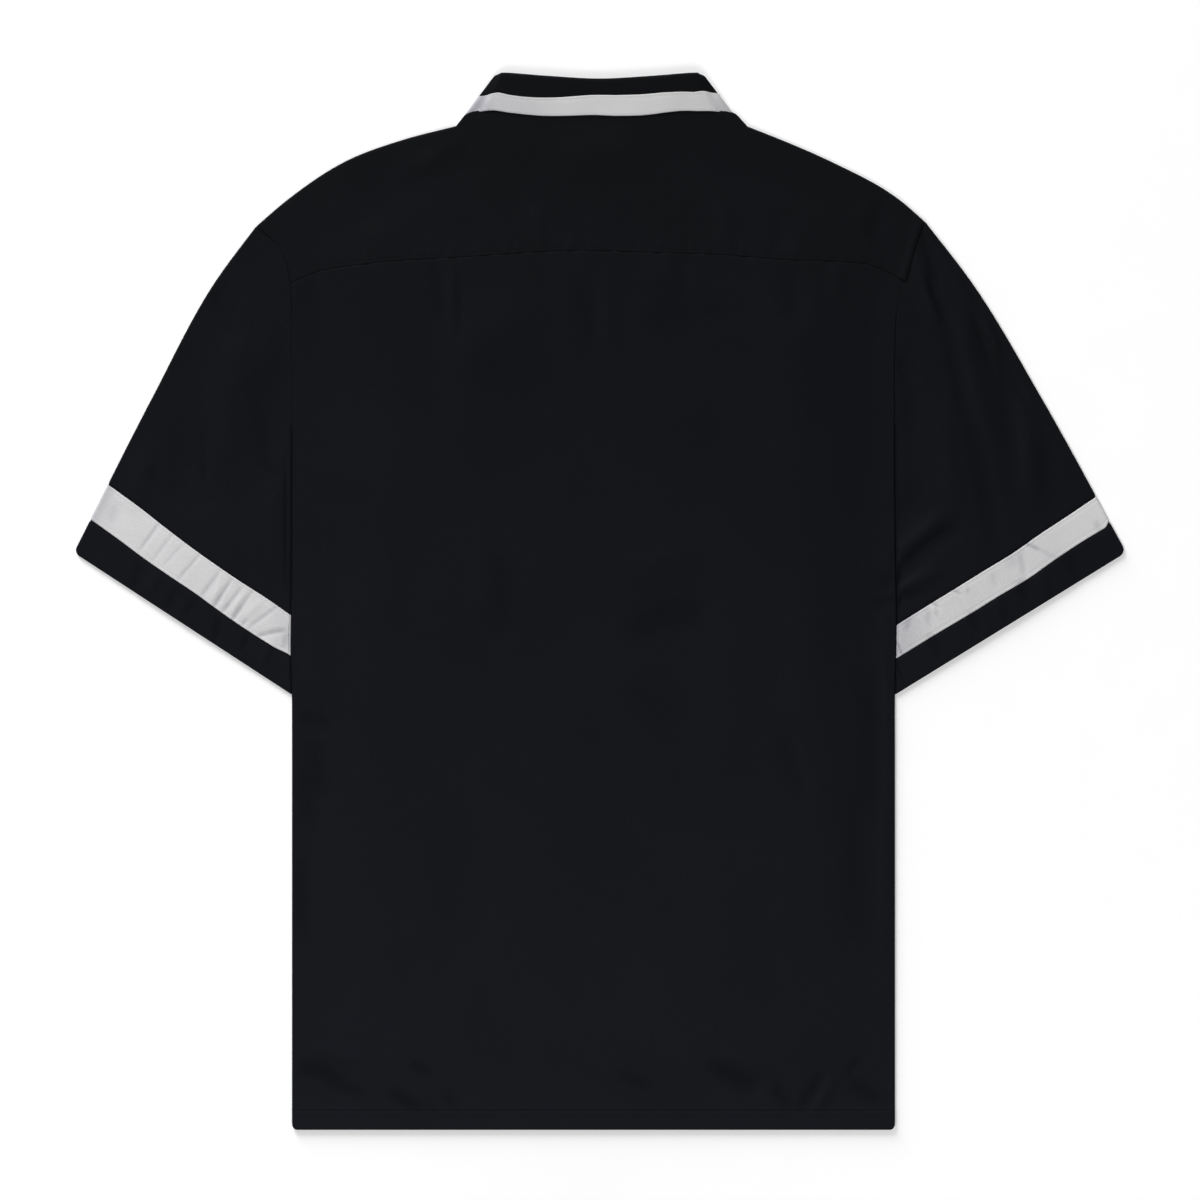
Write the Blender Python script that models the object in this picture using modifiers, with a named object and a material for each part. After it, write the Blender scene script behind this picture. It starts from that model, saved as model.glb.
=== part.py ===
"""A waiter shirt with short sleeves, laid flat on its front, with its back up.

The cut is worked out in plan, in millimetres: X runs across the shirt, with the wearer's left at -X, and Y runs
from the hem up to the collar. Each panel is a grid of points in the middle of its cloth. A panel's height above the
table is a function of its place in plan, so that panels that lie on each other keep their distance, and an edge
that folds over follows a quarter or a half circle.
"""

import math

import bpy
import numpy as np

MM = 0.001

# The cloth
WALL = 1.0  # how thick the cloth is
SEAM = 0.3  # between two pieces that are sewn together
HALF_SEAM = SEAM / 2
ROLLED_SEAM = 0.36  # from the middle of a side seam to the cloth that rolls over to it
MIDDLE = WALL / 2  # from a face of the cloth to its middle

# Heights of the middle of the cloth above the table
TABLE = MIDDLE  # of what lies on the table
EDGE_HEIGHT = 3.2  # of the upper layer at the sides, shoulders and hem
BODY_HEIGHT = 5.4  # of the upper layer inside them
SLEEVE_HEIGHT = 2.6  # of the upper layer at the edges of a sleeve's lower half
SLEEVE_LOFT = 0.7  # how much higher it is in the middle
LOFT_WIDTH = 75.0  # how far in from an edge the upper layer of the body reaches its full height
SLEEVE_LOFT_WIDTH = 20.0  # and that of a sleeve

# The body in plan
SIDES = {"left": -221.4, "right": 212.4}
OUTWARD = {"left": -1.0, "right": 1.0}
HEM = -380.2
ARMPIT = 123.5  # where the side seam ends and the armhole starts
ROLL_Y = (14.0, -10.0)  # from the armpit: where the cloth starts to roll over the sides, and where it does so fully
ROOM_Y = (40.0, 16.0)  # and where the pieces stand back from each other for that
TURN_OVER = 25.0  # from the shoulder's fold to the seam at the front

# The front's opening
OVERLAP = 15.0  # each front goes this far past the middle
BUTTON_RADIUS, BUTTON_THICK = 5.75, 1.8
BUTTON_TOP, BUTTON_PITCH, BUTTONS = 232.0, 92.0, 6
BUTTON_ROUNDING = 0.5
BUTTON_SIDES = 12

# Where the fronts leave the table. Each pair is where they start to rise and where they are fully up.
CHANNEL = BUTTON_THICK + SEAM  # over the buttons
CHANNEL_X = (32.0, 8.0)
CHANNEL_Y = (-60.0, -20.0)  # from the lowest button
COLLAR_LIFT = WALL + SEAM + 0.1  # over the collar's fall, and the yoke over the stand
COLLAR_X, COLLAR_Y = (132.0, 104.0), (205.0, 237.0)
STACK = WALL + SEAM + 0.15  # of the inner front over the outer one
STACK_X = (50.0, 19.0)
NECK_X, NECK_Y = (150.0, 105.0), (290.0, 330.0)  # of the yoke over the stand
ABOVE_NECK = 480.0  # the Y from which heights inside the neck fade, well past the collar

# Lines of the cut, each from its first point to its last
SHOULDERS = {  # the fold, from the sleeve to the neck
    "left": [(-246.6, 268.9), (-225.0, 289.1), (-181.1, 317.9), (-142.2, 332.3), (-102.5, 341.6), (-95.4, 347.6)],
    "right": [(233.6, 272.5), (215.6, 289.1), (164.5, 317.9), (131.4, 332.3), (105.2, 341.6), (95.4, 347.6)],
}
ARMHOLES = {  # from the shoulder's fold to the armpit
    "left": [(-246.6, 268.9), (-230.8, 253.1), (-225.4, 241.5), (-222.8, 229.3), (-221.9, 181.0), (-221.4, 123.5)],
    "right": [(233.6, 272.5), (227.5, 251.0), (221.4, 230.0), (215.2, 211.0), (212.9, 181.0), (212.4, 123.5)],
}
ARMHOLE_ROWS = (0.0, 12.0, 50.0, 80.0, 110.0, 133.0, 165.0, 200.0)  # distances down it from the sleeve's head
YOKE_SEAM = [(-222.8, 229.3), (-207.0, 236.5), (-170.0, 243.0), (-93.0, 248.5), (-7.0, 253.0), (103.0, 248.0),
             (190.0, 243.5), (221.4, 230.0)]
SLEEVES = {
    # outer: the fold from the shoulder to the hem. inner_hem: the Y of the hem at the underarm.
    # hem_strip and band: their upper edges, as distances up from the hem along the outer fold and the underarm.
    "left": {"outer": [(-246.6, 268.9), (-275.4, 231.5), (-322.9, 145.1), (-376.9, 36.4)],
             "inner_hem": -65.9, "hem_strip": (24.3, 26.3), "band": (53.8, 56.5)},
    "right": {"outer": [(233.6, 272.5), (266.0, 231.5), (318.6, 145.1), (376.9, 36.4)],
              "inner_hem": -66.4, "hem_strip": (21.0, 25.1), "band": (44.9, 50.9)},
}
BAND_SEAM = 0.25  # from the middle of a band's seam to its cloth, along the sleeve
COLLAR_STRIPE = 14.4  # how wide the stripe on the collar's edge is
STRIPE_SEAM = 0.2  # from the middle of its seam to the cloth
STRIPE_CLEARANCE = 0.4  # more room at that seam where the collar stands on its side
SIDE_CLEARANCE = 1.6  # and between the collar and the yoke
FALL_CLEARANCE = 0.1  # more room between the fall and the yoke
COLLAR = (  # half of the collar in plan, from the nape to the front: its seam, the middle of its roll and its edge.
    # turn: 90 where the fall is on top, 0 where it stands on its side and -90 where it is underneath.
    # rise: how far the stand climbs. roll: how far apart the stand and the fall are at the roll.
    # seam_x seam_y  roll_x roll_y  edge_x edge_y  turn  rise roll
    (0.0, 355.6, 0.0, 376.4, 0.0, 350.2, 90, 3.0, 3.6),
    (38.0, 355.6, 38.0, 377.4, 40.0, 349.8, 90, 3.0, 3.6),
    (66.0, 354.4, 61.0, 378.0, 74.0, 352.0, 86, 2.8, 3.4),
    (85.0, 351.6, 67.4, 375.6, 92.0, 351.6, 55, 2.4, 3.0),
    (90.4, 347.6, 69.4, 373.6, 95.2, 348.6, 0, 2.0, 2.6),
    (91.4, 342.6, 68.6, 369.6, 97.0, 346.2, -65, 1.0, 2.0),
    (91.6, 326.0, 61.0, 354.0, 98.0, 326.0, -90, 0.0, 1.5),
    (70.0, 288.0, 46.0, 312.0, 92.0, 276.0, -90, 0.0, 1.5),
    (36.0, 267.0, 24.0, 292.0, 84.0, 257.0, -90, 0.0, 1.5),
    (8.0, 261.0, 9.0, 280.0, 76.0, 246.0, -90, 0.0, 1.5),
)
NAPE_STATIONS = (0, 1, 2, 2.5, 3, 3.5)  # rows of that table, and halfway between them, along the yoke
SIDE_STATIONS = (4, 4.5, 5, 5.5)  # round the side of the neck
FRONT_STATION = 6.0  # where the collar is fully underneath
FRONT_COLUMNS = (72.0, 50.0, 32.0, 20.0, 15.0, 8.0)  # distances from the middle, along the front neckline
NEXT_ROW = 6.0  # a shared row nearer than this below a piece's first one is left out
SHOULDER_COLUMNS = 6  # of the yoke and the fronts, from the armhole to the neck
YOKE_ROWS, BACK_ROWS, FRONT_ROWS = 8, 11, 9
SLEEVE_COLUMNS = 7
ROUND = np.array([0.0, 0.3, 1.0])  # places along a quarter circle's radius, from the edge it folds at
FINE = 400  # points of a smooth line, before it is read at a few places
SIDE_POWER = 6

FOLDS = (  # the largest soft folds of the upper layer: a line in plan, its half width and its height
    # x0     y0     x1     y1    width height
    (172.0, 185.0, 184.0, -180.0, 13.0, 0.9),
    (-150.0, 120.0, -168.0, -210.0, 16.0, 0.5),
    (235.0, 258.0, 262.0, 120.0, 8.0, 0.9),
    (262.0, 120.0, 284.0, 40.0, 7.0, 0.6),
    (-240.0, 150.0, -236.0, 80.0, 9.0, -0.5),
)
FOLD_FADE = 0.3  # of a fold's length, at each end

COLOURS = {  # name: (base colour in linear light, roughness)
    "black_twill": ((0.0080, 0.0086, 0.0105), 0.75),
    "off_white_satin": ((0.60, 0.59, 0.58), 0.5),
    "black_button": ((0.010, 0.010, 0.011), 0.3),
}


def fade(value, start, end):
    """0 before the start, 1 past the end, and a soft S between them. The end may be the smaller of the two."""
    share = np.clip((value - start) / (end - start), 0.0, 1.0)
    return share * share * (3.0 - 2.0 * share)


def round_edge(distance, radius):
    """How far down a quarter circle has come, from 1 at the edge to 0 at one radius from it."""
    inside = 1.0 - np.clip(distance / radius, 0.0, 1.0)
    return 1.0 - np.sqrt(1.0 - inside * inside)


def curve(knots, shares):
    """Points at these shares of the length of a smooth line through the knots."""
    knots = np.asarray(knots, float)
    chord = np.concatenate([[0.0], np.cumsum(np.linalg.norm(np.diff(knots, axis=0), axis=1))])
    slope = np.gradient(knots, chord, axis=0)
    fine = np.linspace(0.0, chord[-1], FINE)
    k = np.clip(np.searchsorted(chord, fine, side="right") - 1, 0, len(chord) - 2)
    span = (chord[k + 1] - chord[k])[:, None]
    t = (fine - chord[k])[:, None] / span
    line = (knots[k] * (1 + 2 * t) * (1 - t) ** 2 + knots[k + 1] * t * t * (3 - 2 * t)
            + span * (slope[k] * t * (1 - t) ** 2 + slope[k + 1] * t * t * (t - 1)))
    return at_lengths(line, np.asarray(shares) * lengths(line)[-1])


def lengths(line):
    return np.concatenate([[0.0], np.cumsum(np.linalg.norm(np.diff(line, axis=0), axis=1))])


def at_lengths(line, wanted):
    """Points at these lengths along a line of points."""
    along = lengths(line)
    return np.stack([np.interp(wanted, along, line[:, i]) for i in range(line.shape[1])], axis=-1)


def patch(bottom, top, left, right, across, up):
    """Points between four lines of points that share their corners, row by row from the bottom.

    Columns are straight from the bottom to the top, and follow the two sides only near them, by a high power of the
    distance from the other side.
    """
    u, v = across[None, :, None], up[:, None, None]
    left_bend = left[:, None] - (1 - v) * bottom[0] - v * top[0]
    right_bend = right[:, None] - (1 - v) * bottom[-1] - v * top[-1]
    return (1 - v) * bottom + v * top + (1 - u) ** SIDE_POWER * left_bend + u ** SIDE_POWER * right_bend


# ---- heights -------------------------------------------------------------------------------------------------

def channel(y):
    """Where the buttons lift the fronts: 1 beside them, and 0 at the hem."""
    lowest = BUTTON_TOP - BUTTON_PITCH * (BUTTONS - 1)
    return fade(y - lowest, *CHANNEL_Y)


def outer_lift(x, y):
    """How far the outer front is above the table, over the buttons and over the collar's fall."""
    over_buttons = CHANNEL * channel(y) * fade(abs(x), *CHANNEL_X)
    over_collar = COLLAR_LIFT * fade(y, *COLLAR_Y) * fade(abs(x), *COLLAR_X)
    return (over_buttons ** 4 + over_collar ** 4) ** 0.25  # a soft maximum


def inner_lift(x, y):
    """The inner front also lies on the outer one, where they overlap."""
    return outer_lift(x, y) + STACK * fade(x, *STACK_X)


def shoulder_line(x):
    """The Y of the shoulder's fold above this X. Inside the neck it climbs, so that nothing is pressed down there."""
    left, right = SHOULDERS["left"][:-1], SHOULDERS["right"][:-1][::-1]
    xs, ys = zip(*(left + [(0.0, ABOVE_NECK)] + right))
    return np.interp(x, xs, ys)


def fold_height(x, y):
    """The soft folds of the table, each a round ridge that fades out at its two ends."""
    height = np.zeros(np.broadcast(x, y).shape)
    for x0, y0, x1, y1, width, high in FOLDS:
        length = math.hypot(x1 - x0, y1 - y0)
        along = ((x - x0) * (x1 - x0) + (y - y0) * (y1 - y0)) / length
        beside = ((x - x0) * (y1 - y0) - (y - y0) * (x1 - x0)) / length
        ends = fade(along, 0.0, FOLD_FADE * length) * fade(length - along, 0.0, FOLD_FADE * length)
        height = height + high * ends * np.exp(-(beside / width) ** 2)
    return height


def upper_height(x, y):
    """The middle of the upper layer of the body: low at the sides, shoulders and hem, full inside them."""
    rise = (fade(x - SIDES["left"], 0.0, LOFT_WIDTH) * fade(SIDES["right"] - x, 0.0, LOFT_WIDTH)
            * fade(y - HEM, 0.0, LOFT_WIDTH) * fade(shoulder_line(x) - y, 0.0, LOFT_WIDTH))
    near_neck = COLLAR_LIFT * fade(y, *NECK_Y) * fade(abs(x), *NECK_X) * (1 - rise)
    return EDGE_HEIGHT + (BODY_HEIGHT - EDGE_HEIGHT) * rise + near_neck + fold_height(x, y)


def rolled(y):
    """1 along the side seams, where the cloth rolls over the edge, and 0 along the armholes."""
    return fade(y - ARMPIT, *ROLL_Y)


def clear_of_seam(y, beyond):
    """From the line of a side or an armhole to the middle of the cloth: more where the cloth stands on its side."""
    return HALF_SEAM + (beyond - HALF_SEAM) * fade(y - ARMPIT, *ROOM_Y)


# ---- objects -------------------------------------------------------------------------------------------------

def material(name):
    colour, rough = COLOURS[name]
    made = bpy.data.materials.get(name) or bpy.data.materials.new(name)
    made.use_nodes = True
    shader = made.node_tree.nodes["Principled BSDF"]
    shader.inputs["Base Color"].default_value = (*colour, 1.0)
    shader.inputs["Roughness"].default_value = rough
    shader.inputs["Metallic"].default_value = 0.0
    made.diffuse_color = (*colour, 1.0)
    return made


def cloth(name, grid, finish, keep=None, tight=False):
    """One piece of cloth: a grid of points in millimetres, given its wall to both sides of them.

    A tight bend, near the wall's own thickness, is left a little thin, because an even wall would cross itself.
    """
    rows, columns = grid.shape[:2]
    first = np.arange(rows * columns).reshape(rows, columns)[:-1, :-1]
    faces = np.stack([first, first + 1, first + columns + 1, first + columns], axis=-1)
    faces = (faces if keep is None else faces[keep]).reshape(-1, 4)
    used, faces = np.unique(faces, return_inverse=True)
    mesh = bpy.data.meshes.new(name)
    mesh.from_pydata((grid.reshape(-1, 3)[used] * MM).tolist(), [], faces.reshape(-1, 4).tolist())
    mesh.shade_smooth()
    piece = bpy.data.objects.new(name, mesh)
    SHIRT.objects.link(piece)
    mesh.materials.append(material(finish))
    wall = piece.modifiers.new("wall", "SOLIDIFY")
    wall.thickness = WALL * MM
    wall.offset = 0.0
    wall.use_even_offset = not tight


def with_height(plan, height):
    return np.concatenate([plan, height[..., None]], axis=-1)


# ---- lines that pieces share ---------------------------------------------------------------------------------

def armhole_and_side(side, first, last, count):
    """Points down the armhole and the side, from a distance below the sleeve's head to a Y.

    Every piece that meets there has the armhole's rows, and then its own count of even steps.
    """
    line = np.vstack([below_head(side), [(SIDES[side], last)]])
    corner = down_armhole(side, YOKE_SEAM[0 if side == "left" else -1])
    shared = [row for row in sorted([*ARMHOLE_ROWS, corner]) if row > first + NEXT_ROW]
    even = np.linspace(shared[-1], lengths(line)[-1], count + 1)[1:]
    return at_lengths(line, np.concatenate([[first], shared, even]))


def down_armhole(side, point):
    """How far down the armhole from the sleeve's head a point of it is."""
    armhole = below_head(side)
    return lengths(armhole)[np.argmin(np.linalg.norm(armhole - point, axis=1))]


def below_head(side):
    """The line of the armhole from the head of the sleeve, its second knot, to the armpit."""
    armhole = curve(ARMHOLES[side], np.linspace(0.0, 1.0, FINE))
    return armhole[np.argmin(np.linalg.norm(armhole - ARMHOLES[side][1], axis=1)):]


def moved_in(line, side, beyond):
    """The line of an armhole and side, moved into the body to the middle of its cloth."""
    line = line.copy()
    line[:, 0] -= OUTWARD[side] * clear_of_seam(line[:, 1], beyond)
    return line


def collar_line(places):
    """The collar's table read along a smooth line at these places, where 0 is its first row, 1 its second, and so on."""
    table = np.array(COLLAR, float)
    steps = np.sqrt(np.linalg.norm(np.diff(table[:, :6], axis=0), axis=1))
    at = np.concatenate([[0.0], np.cumsum(steps)])
    slope = np.gradient(table, at, axis=0)
    slope[0, [0, 2, 4]] = (table[1, [0, 2, 4]] - table[0, [0, 2, 4]]) / steps[0]
    wanted = np.interp(places, range(len(table)), at)
    k = np.clip(np.searchsorted(at, wanted, side="right") - 1, 0, len(at) - 2)
    span = (at[k + 1] - at[k])[:, None]
    t = (wanted - at[k])[:, None] / span
    return (table[k] * (1 + 2 * t) * (1 - t) ** 2 + table[k + 1] * t * t * (3 - 2 * t)
            + span * (slope[k] * t * (1 - t) ** 2 + slope[k + 1] * t * t * (t - 1)))


def front_places():
    """The places of the collar's table whose seam is at the front's columns."""
    fine = np.linspace(FRONT_STATION, len(COLLAR) - 1.0, FINE)
    return np.interp(-np.array(FRONT_COLUMNS), -collar_line(fine)[:, 0], fine)


def outside(line, distance):
    """A line round the neck moved away from it, by a distance."""
    along = np.gradient(line, axis=0)
    along /= np.linalg.norm(along, axis=1)[:, None]
    return line + distance * np.stack([along[:, 1], -along[:, 0]], axis=1)


# ---- the body ------------------------------------------------------------------------------------------------

def yoke_edges():
    """The yoke's top and bottom in plan, column by column from the left armhole to the right one."""
    over = np.linspace(0.0, 1.0, SHOULDER_COLUMNS)
    left, right = curve(SHOULDERS["left"], over), curve(SHOULDERS["right"], over)[::-1]
    half = collar_line(NAPE_STATIONS)
    turning = np.cos(np.radians(np.minimum(half[:, 6], 90.0)))
    clear = np.concatenate([turning[:0:-1], turning])[:, None] * SIDE_CLEARANCE + SEAM
    whole = np.vstack([half[:0:-1, :2] * (-1.0, 1.0), half[:, :2]])
    top = np.vstack([left, outside(whole, clear), right])
    share = (top[:, 0] - top[0, 0]) / (top[-1, 0] - top[0, 0])
    return top, curve(YOKE_SEAM, share), share


def yoke_plan():
    """The yoke in plan: each column from its seam to the fold of a shoulder, or to the neck."""
    top, bottom, share = yoke_edges()
    up = np.linspace(0.0, 1.0, FINE)
    bottom = bottom + (0.0, HALF_SEAM)
    armholes = []
    for side in ("left", "right"):
        line = curve(ARMHOLES[side], np.linspace(0.0, 1.0, FINE))
        line = line[line[:, 1] > YOKE_SEAM[0 if side == "left" else -1][1] + HALF_SEAM][::-1]
        line = line - (OUTWARD[side] * HALF_SEAM, 0.0)
        armholes.append(at_lengths(line, up * lengths(line)[-1]))
    bottom[0], bottom[-1], top[0], top[-1] = armholes[0][0], armholes[1][0], armholes[0][-1], armholes[1][-1]
    return patch(bottom, top, armholes[0], armholes[1], share, up)


def from_top(column, distances):
    """Points of one column of the yoke, at these distances back from its top."""
    return at_lengths(column[::-1], distances)


def yoke_panel():
    plan = yoke_plan()
    last = plan.shape[1] - 1
    columns = []
    for i in range(last + 1):
        column = plan[:, i]
        folds = i < SHOULDER_COLUMNS or i > last - SHOULDER_COLUMNS
        start = MIDDLE if folds else 0.0  # the cloth's outer face is on the line of the fold
        edge = from_top(column, [start])[0]
        radius = (upper_height(*edge) - TABLE - outer_lift(*edge)) / 2
        upper = np.concatenate([np.linspace(lengths(column)[-1], start + radius, YOKE_ROWS),
                                start + ROUND[1::-1] * radius])
        lower = np.concatenate([start + ROUND[1:] * radius, [TURN_OVER / 2, TURN_OVER]])
        above, below = from_top(column, upper), from_top(column, lower)
        high = upper_height(above[:, 0], above[:, 1])
        low = TABLE + outer_lift(below[:, 0], below[:, 1])
        if folds:
            high = high - radius * round_edge(upper - start, radius)
            low = low + radius * round_edge(lower - start, radius)
        columns.append(np.vstack([with_height(above, high), with_height(below, low)]))
    grid = np.stack(columns, axis=1)
    keep = np.ones((grid.shape[0] - 1, last), bool)
    keep[YOKE_ROWS + 1:, SHOULDER_COLUMNS - 1:last - SHOULDER_COLUMNS + 1] = False  # nothing turns under at the neck
    cloth("yoke", grid, "black_twill", keep)


def back_panel():
    radius = (EDGE_HEIGHT - TABLE) / 2
    edges = {}
    for side, corner in (("left", YOKE_SEAM[0]), ("right", YOKE_SEAM[-1])):
        line = armhole_and_side(side, down_armhole(side, corner), HEM, BACK_ROWS)[::-1]
        edges[side] = moved_in(line, side, MIDDLE)
    top = yoke_edges()[1] - (0.0, HALF_SEAM)
    top[0], top[-1] = edges["left"][-1], edges["right"][-1]
    top = np.vstack([at_lengths(top, ROUND * radius), top[1:-1], at_lengths(top[::-1], ROUND[::-1] * radius)])
    share = (top[:, 0] - top[0, 0]) / (top[-1, 0] - top[0, 0])
    hem = edges["left"][0] + share[:, None] * (edges["right"][0] - edges["left"][0])
    up = (edges["left"][:, 1] - HEM) / (edges["left"][-1, 1] - HEM)
    plan = patch(hem, top, edges["left"], edges["right"], share, up)
    height = upper_height(plan[..., 0], plan[..., 1])
    for edge in (plan[:, :1], plan[:, -1:]):
        height = height - roll(plan, edge, radius, radius - ROLLED_SEAM)
    cloth("back", with_height(plan, height), "black_twill")


def roll(plan, edge, radius, reach):
    """How far a panel has come towards the other layer, where it rolls over at a side."""
    away = np.linalg.norm(plan - edge, axis=-1)
    return rolled(plan[..., 1]) * round_edge(away, radius) * reach


def front_panel(side, lift):
    """A front: from the side seam to past the middle, and from the hem to the shoulder seam and the neckline."""
    outward = OUTWARD[side]
    plan = yoke_plan()[:, ::int(-outward)][:, :SHOULDER_COLUMNS]
    seam = np.array([from_top(plan[:, i], [TURN_OVER + SEAM])[0] for i in range(SHOULDER_COLUMNS)])
    neck = outside(collar_line(front_places())[:, :2], -SEAM) * (outward, 1.0)
    middle = [(outward * x, neck[-1, 1]) for x in (-FRONT_COLUMNS[-1], -OVERLAP)]
    radius = (EDGE_HEIGHT - TABLE) / 2
    line = armhole_and_side(side, down_armhole(side, seam[0]), HEM, FRONT_ROWS)[::-1]
    outer = moved_in(line, side, MIDDLE)
    seam[0] = outer[-1]
    top = np.vstack([at_lengths(seam, ROUND * radius), seam[1:], neck, middle])
    hem_x = np.concatenate([outer[0, 0] - outward * ROUND * radius,
                            np.interp(seam[1:, 0], [seam[0, 0], seam[-1, 0]][::int(-outward)],
                                      [outer[0, 0], seam[-1, 0]][::int(-outward)]), neck[:, 0],
                            [point[0] for point in middle]])
    hem = np.stack([hem_x, np.full_like(hem_x, HEM)], axis=1)
    across = (hem_x - hem_x[0]) / (hem_x[-1] - hem_x[0])
    up = (outer[:, 1] - HEM) / (outer[-1, 1] - HEM)
    opening = hem[-1] + up[:, None] * (top[-1] - hem[-1])
    plan = patch(hem, top, outer, opening, across, up)
    height = TABLE + lift(plan[..., 0] * outward, plan[..., 1])
    height = height + roll(plan, plan[:, :1], radius, radius - ROLLED_SEAM)
    cloth("front_" + side, with_height(plan, height), "black_twill")


# ---- the sleeves ---------------------------------------------------------------------------------------------

def sleeve_grid(side, outer, inner):
    """Rows of a flattened tube: the upper layer from the underarm to the outer fold, and the lower one back.

    Each row is straight in plan, between a point of the outer fold and one of the armhole or the underarm.
    """
    inner = moved_in(inner, side, SEAM + MIDDLE) + (2 * OUTWARD[side], 0.0) * clear_of_seam(
        inner[:, 1:], SEAM + MIDDLE)
    rows = []
    cap = curve(SLEEVES[side]["outer"], [0.0, 0.5])
    for o, i in zip(outer, inner):
        o = o + (i - o) * MIDDLE / np.linalg.norm(i - o)
        wide = np.linalg.norm(i - o)
        down = fade(o[1], cap[0, 1], cap[1, 1])
        top = EDGE_HEIGHT + (SLEEVE_HEIGHT - EDGE_HEIGHT) * down
        radius = (top - TABLE) / 2
        near = ROUND[:2] * radius
        steps = np.concatenate([near, np.linspace(radius, wide - radius, SLEEVE_COLUMNS), wide - near[::-1]])
        plan = i + (o - i) * (steps / wide)[:, None]
        loft = down * SLEEVE_LOFT * np.sin(np.pi * steps / wide) ** 2 + fold_height(plan[:, 0], plan[:, 1])
        upper = top + loft * fade(wide - steps, 0.0, SLEEVE_LOFT_WIDTH) * fade(steps, 0.0, SLEEVE_LOFT_WIDTH)
        fold = radius * round_edge(wide - steps, radius)
        underarm = rolled(plan[:, 1]) * round_edge(steps, radius) * (radius - ROLLED_SEAM)
        rows.append(np.vstack([with_height(plan, upper - fold - underarm),
                               with_height(plan, TABLE + fold + underarm)[-2::-1]]))
    return np.array(rows)


def sleeve(side):
    cut = SLEEVES[side]
    outer = curve(cut["outer"], np.linspace(0.0, 1.0, FINE))
    inner = armhole_and_side(side, 0.0, cut["inner_hem"], FINE)
    outer_long, inner_long = lengths(outer)[-1], lengths(inner)[-1]

    def rows(shares, below, above):
        """Ends of rows between two distances above the hem, each given for the outer fold and the underarm."""
        lows, highs = np.array(below), np.array(above)
        at = np.subtract((outer_long, inner_long), highs + (lows - highs) * np.asarray(shares)[:, None])
        return at_lengths(outer, at[:, 0]), at_lengths(inner, at[:, 1])

    strip, band = np.array(cut["hem_strip"]), np.array(cut["band"])
    upper_inner = armhole_and_side(side, 0.0, cut["inner_hem"] + band[1] + BAND_SEAM, 1)
    shares = lengths(upper_inner) / lengths(upper_inner)[-1]
    upper_outer = at_lengths(outer, SEAM + shares * (outer_long - band[0] - BAND_SEAM - SEAM))
    upper_inner[0] += (OUTWARD[side] * SEAM, -SEAM)
    cloth("sleeve_" + side, sleeve_grid(side, upper_outer, upper_inner), "black_twill")
    cloth("sleeve_band_" + side, sleeve_grid(side, *rows([0.0, 0.5, 1.0], strip + BAND_SEAM, band - BAND_SEAM)),
          "off_white_satin")
    cloth("sleeve_hem_" + side, sleeve_grid(side, *rows([0.0, 1.0], (0.0, 0.0), strip - BAND_SEAM)), "black_twill")


# ---- the collar ----------------------------------------------------------------------------------------------

def collar_section(station, side, lift):
    """One section of the collar: up the stand and round the roll, and the two ends of the fall.

    Its lines lie over the yoke at the nape and under the fronts, and between those places they turn round a half
    circle that joins the two heights, outwards from the neck.
    """
    seam, roll_at, edge = station[0:2], station[2:4], station[4:6]
    turn, rise, apart = math.radians(np.clip(station[6], -90, 90)), station[7], station[8]
    outward = np.array([roll_at[1] - seam[1], seam[0] - roll_at[0]])
    outward = outward / np.linalg.norm(outward)
    towards = np.array([*(roll_at - seam), 0.0]) / np.linalg.norm(roll_at - seam)
    across = np.array([*(outward * math.cos(turn)), math.sin(turn)])

    def turned(plan, above, below):
        return np.array([*plan, (above + below) / 2]) + across * (above - below) / 2

    mirror = np.array([OUTWARD[side], 1.0, 1.0])
    yoke = upper_height(seam[0] * mirror[0], seam[1])
    front = TABLE + lift(seam[0], seam[1])
    on_top = (math.sin(turn) + 1) / 2
    bend = (on_top * apart + (1 - on_top) * (front - TABLE)) / 2
    base = turned(seam, yoke, front)
    centre = turned(roll_at, yoke + rise + apart / 2, (front + TABLE) / 2)
    angles = np.radians(np.linspace(-90.0, 90.0, 5))[:, None]
    bent = centre + bend * (towards * np.cos(angles) + across * np.sin(angles))
    end = turned(edge, upper_height(edge[0] * mirror[0], edge[1]) + WALL + SEAM + FALL_CLEARANCE, TABLE)
    stand = [base, (base + bent[0]) / 2]
    gap = STRIPE_SEAM + STRIPE_CLEARANCE * math.cos(turn)
    return np.vstack([stand, bent[:-1]]) * mirror, bent[-1] * mirror, end * mirror, gap


def collar():
    stations = collar_line(np.concatenate([NAPE_STATIONS, SIDE_STATIONS, [FRONT_STATION], front_places()]))
    parts = {"collar": {"left": [], "right": []}, "collar_stripe": {"left": [], "right": []}}
    for side, lift in (("left", outer_lift), ("right", inner_lift)):
        for station in stations:
            stand, start, end, gap = collar_section(station, side, lift)
            long = np.linalg.norm(end - start)
            join = 1.0 - COLLAR_STRIPE / long
            fall = np.array([[0.0], [join / 2], [join - gap / long]])
            stripe = np.array([[join + gap / long], [(join + 1.0) / 2], [1.0]])
            parts["collar"][side].append(np.vstack([stand, start + (end - start) * fall]))
            parts["collar_stripe"][side].append(start + (end - start) * stripe)
    for name, finish in (("collar", "black_twill"), ("collar_stripe", "off_white_satin")):
        half = parts[name]
        cloth(name, np.vstack([np.array(half["left"])[:0:-1], np.array(half["right"])]), finish, tight=True)


# ---- the buttons ---------------------------------------------------------------------------------------------

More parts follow.
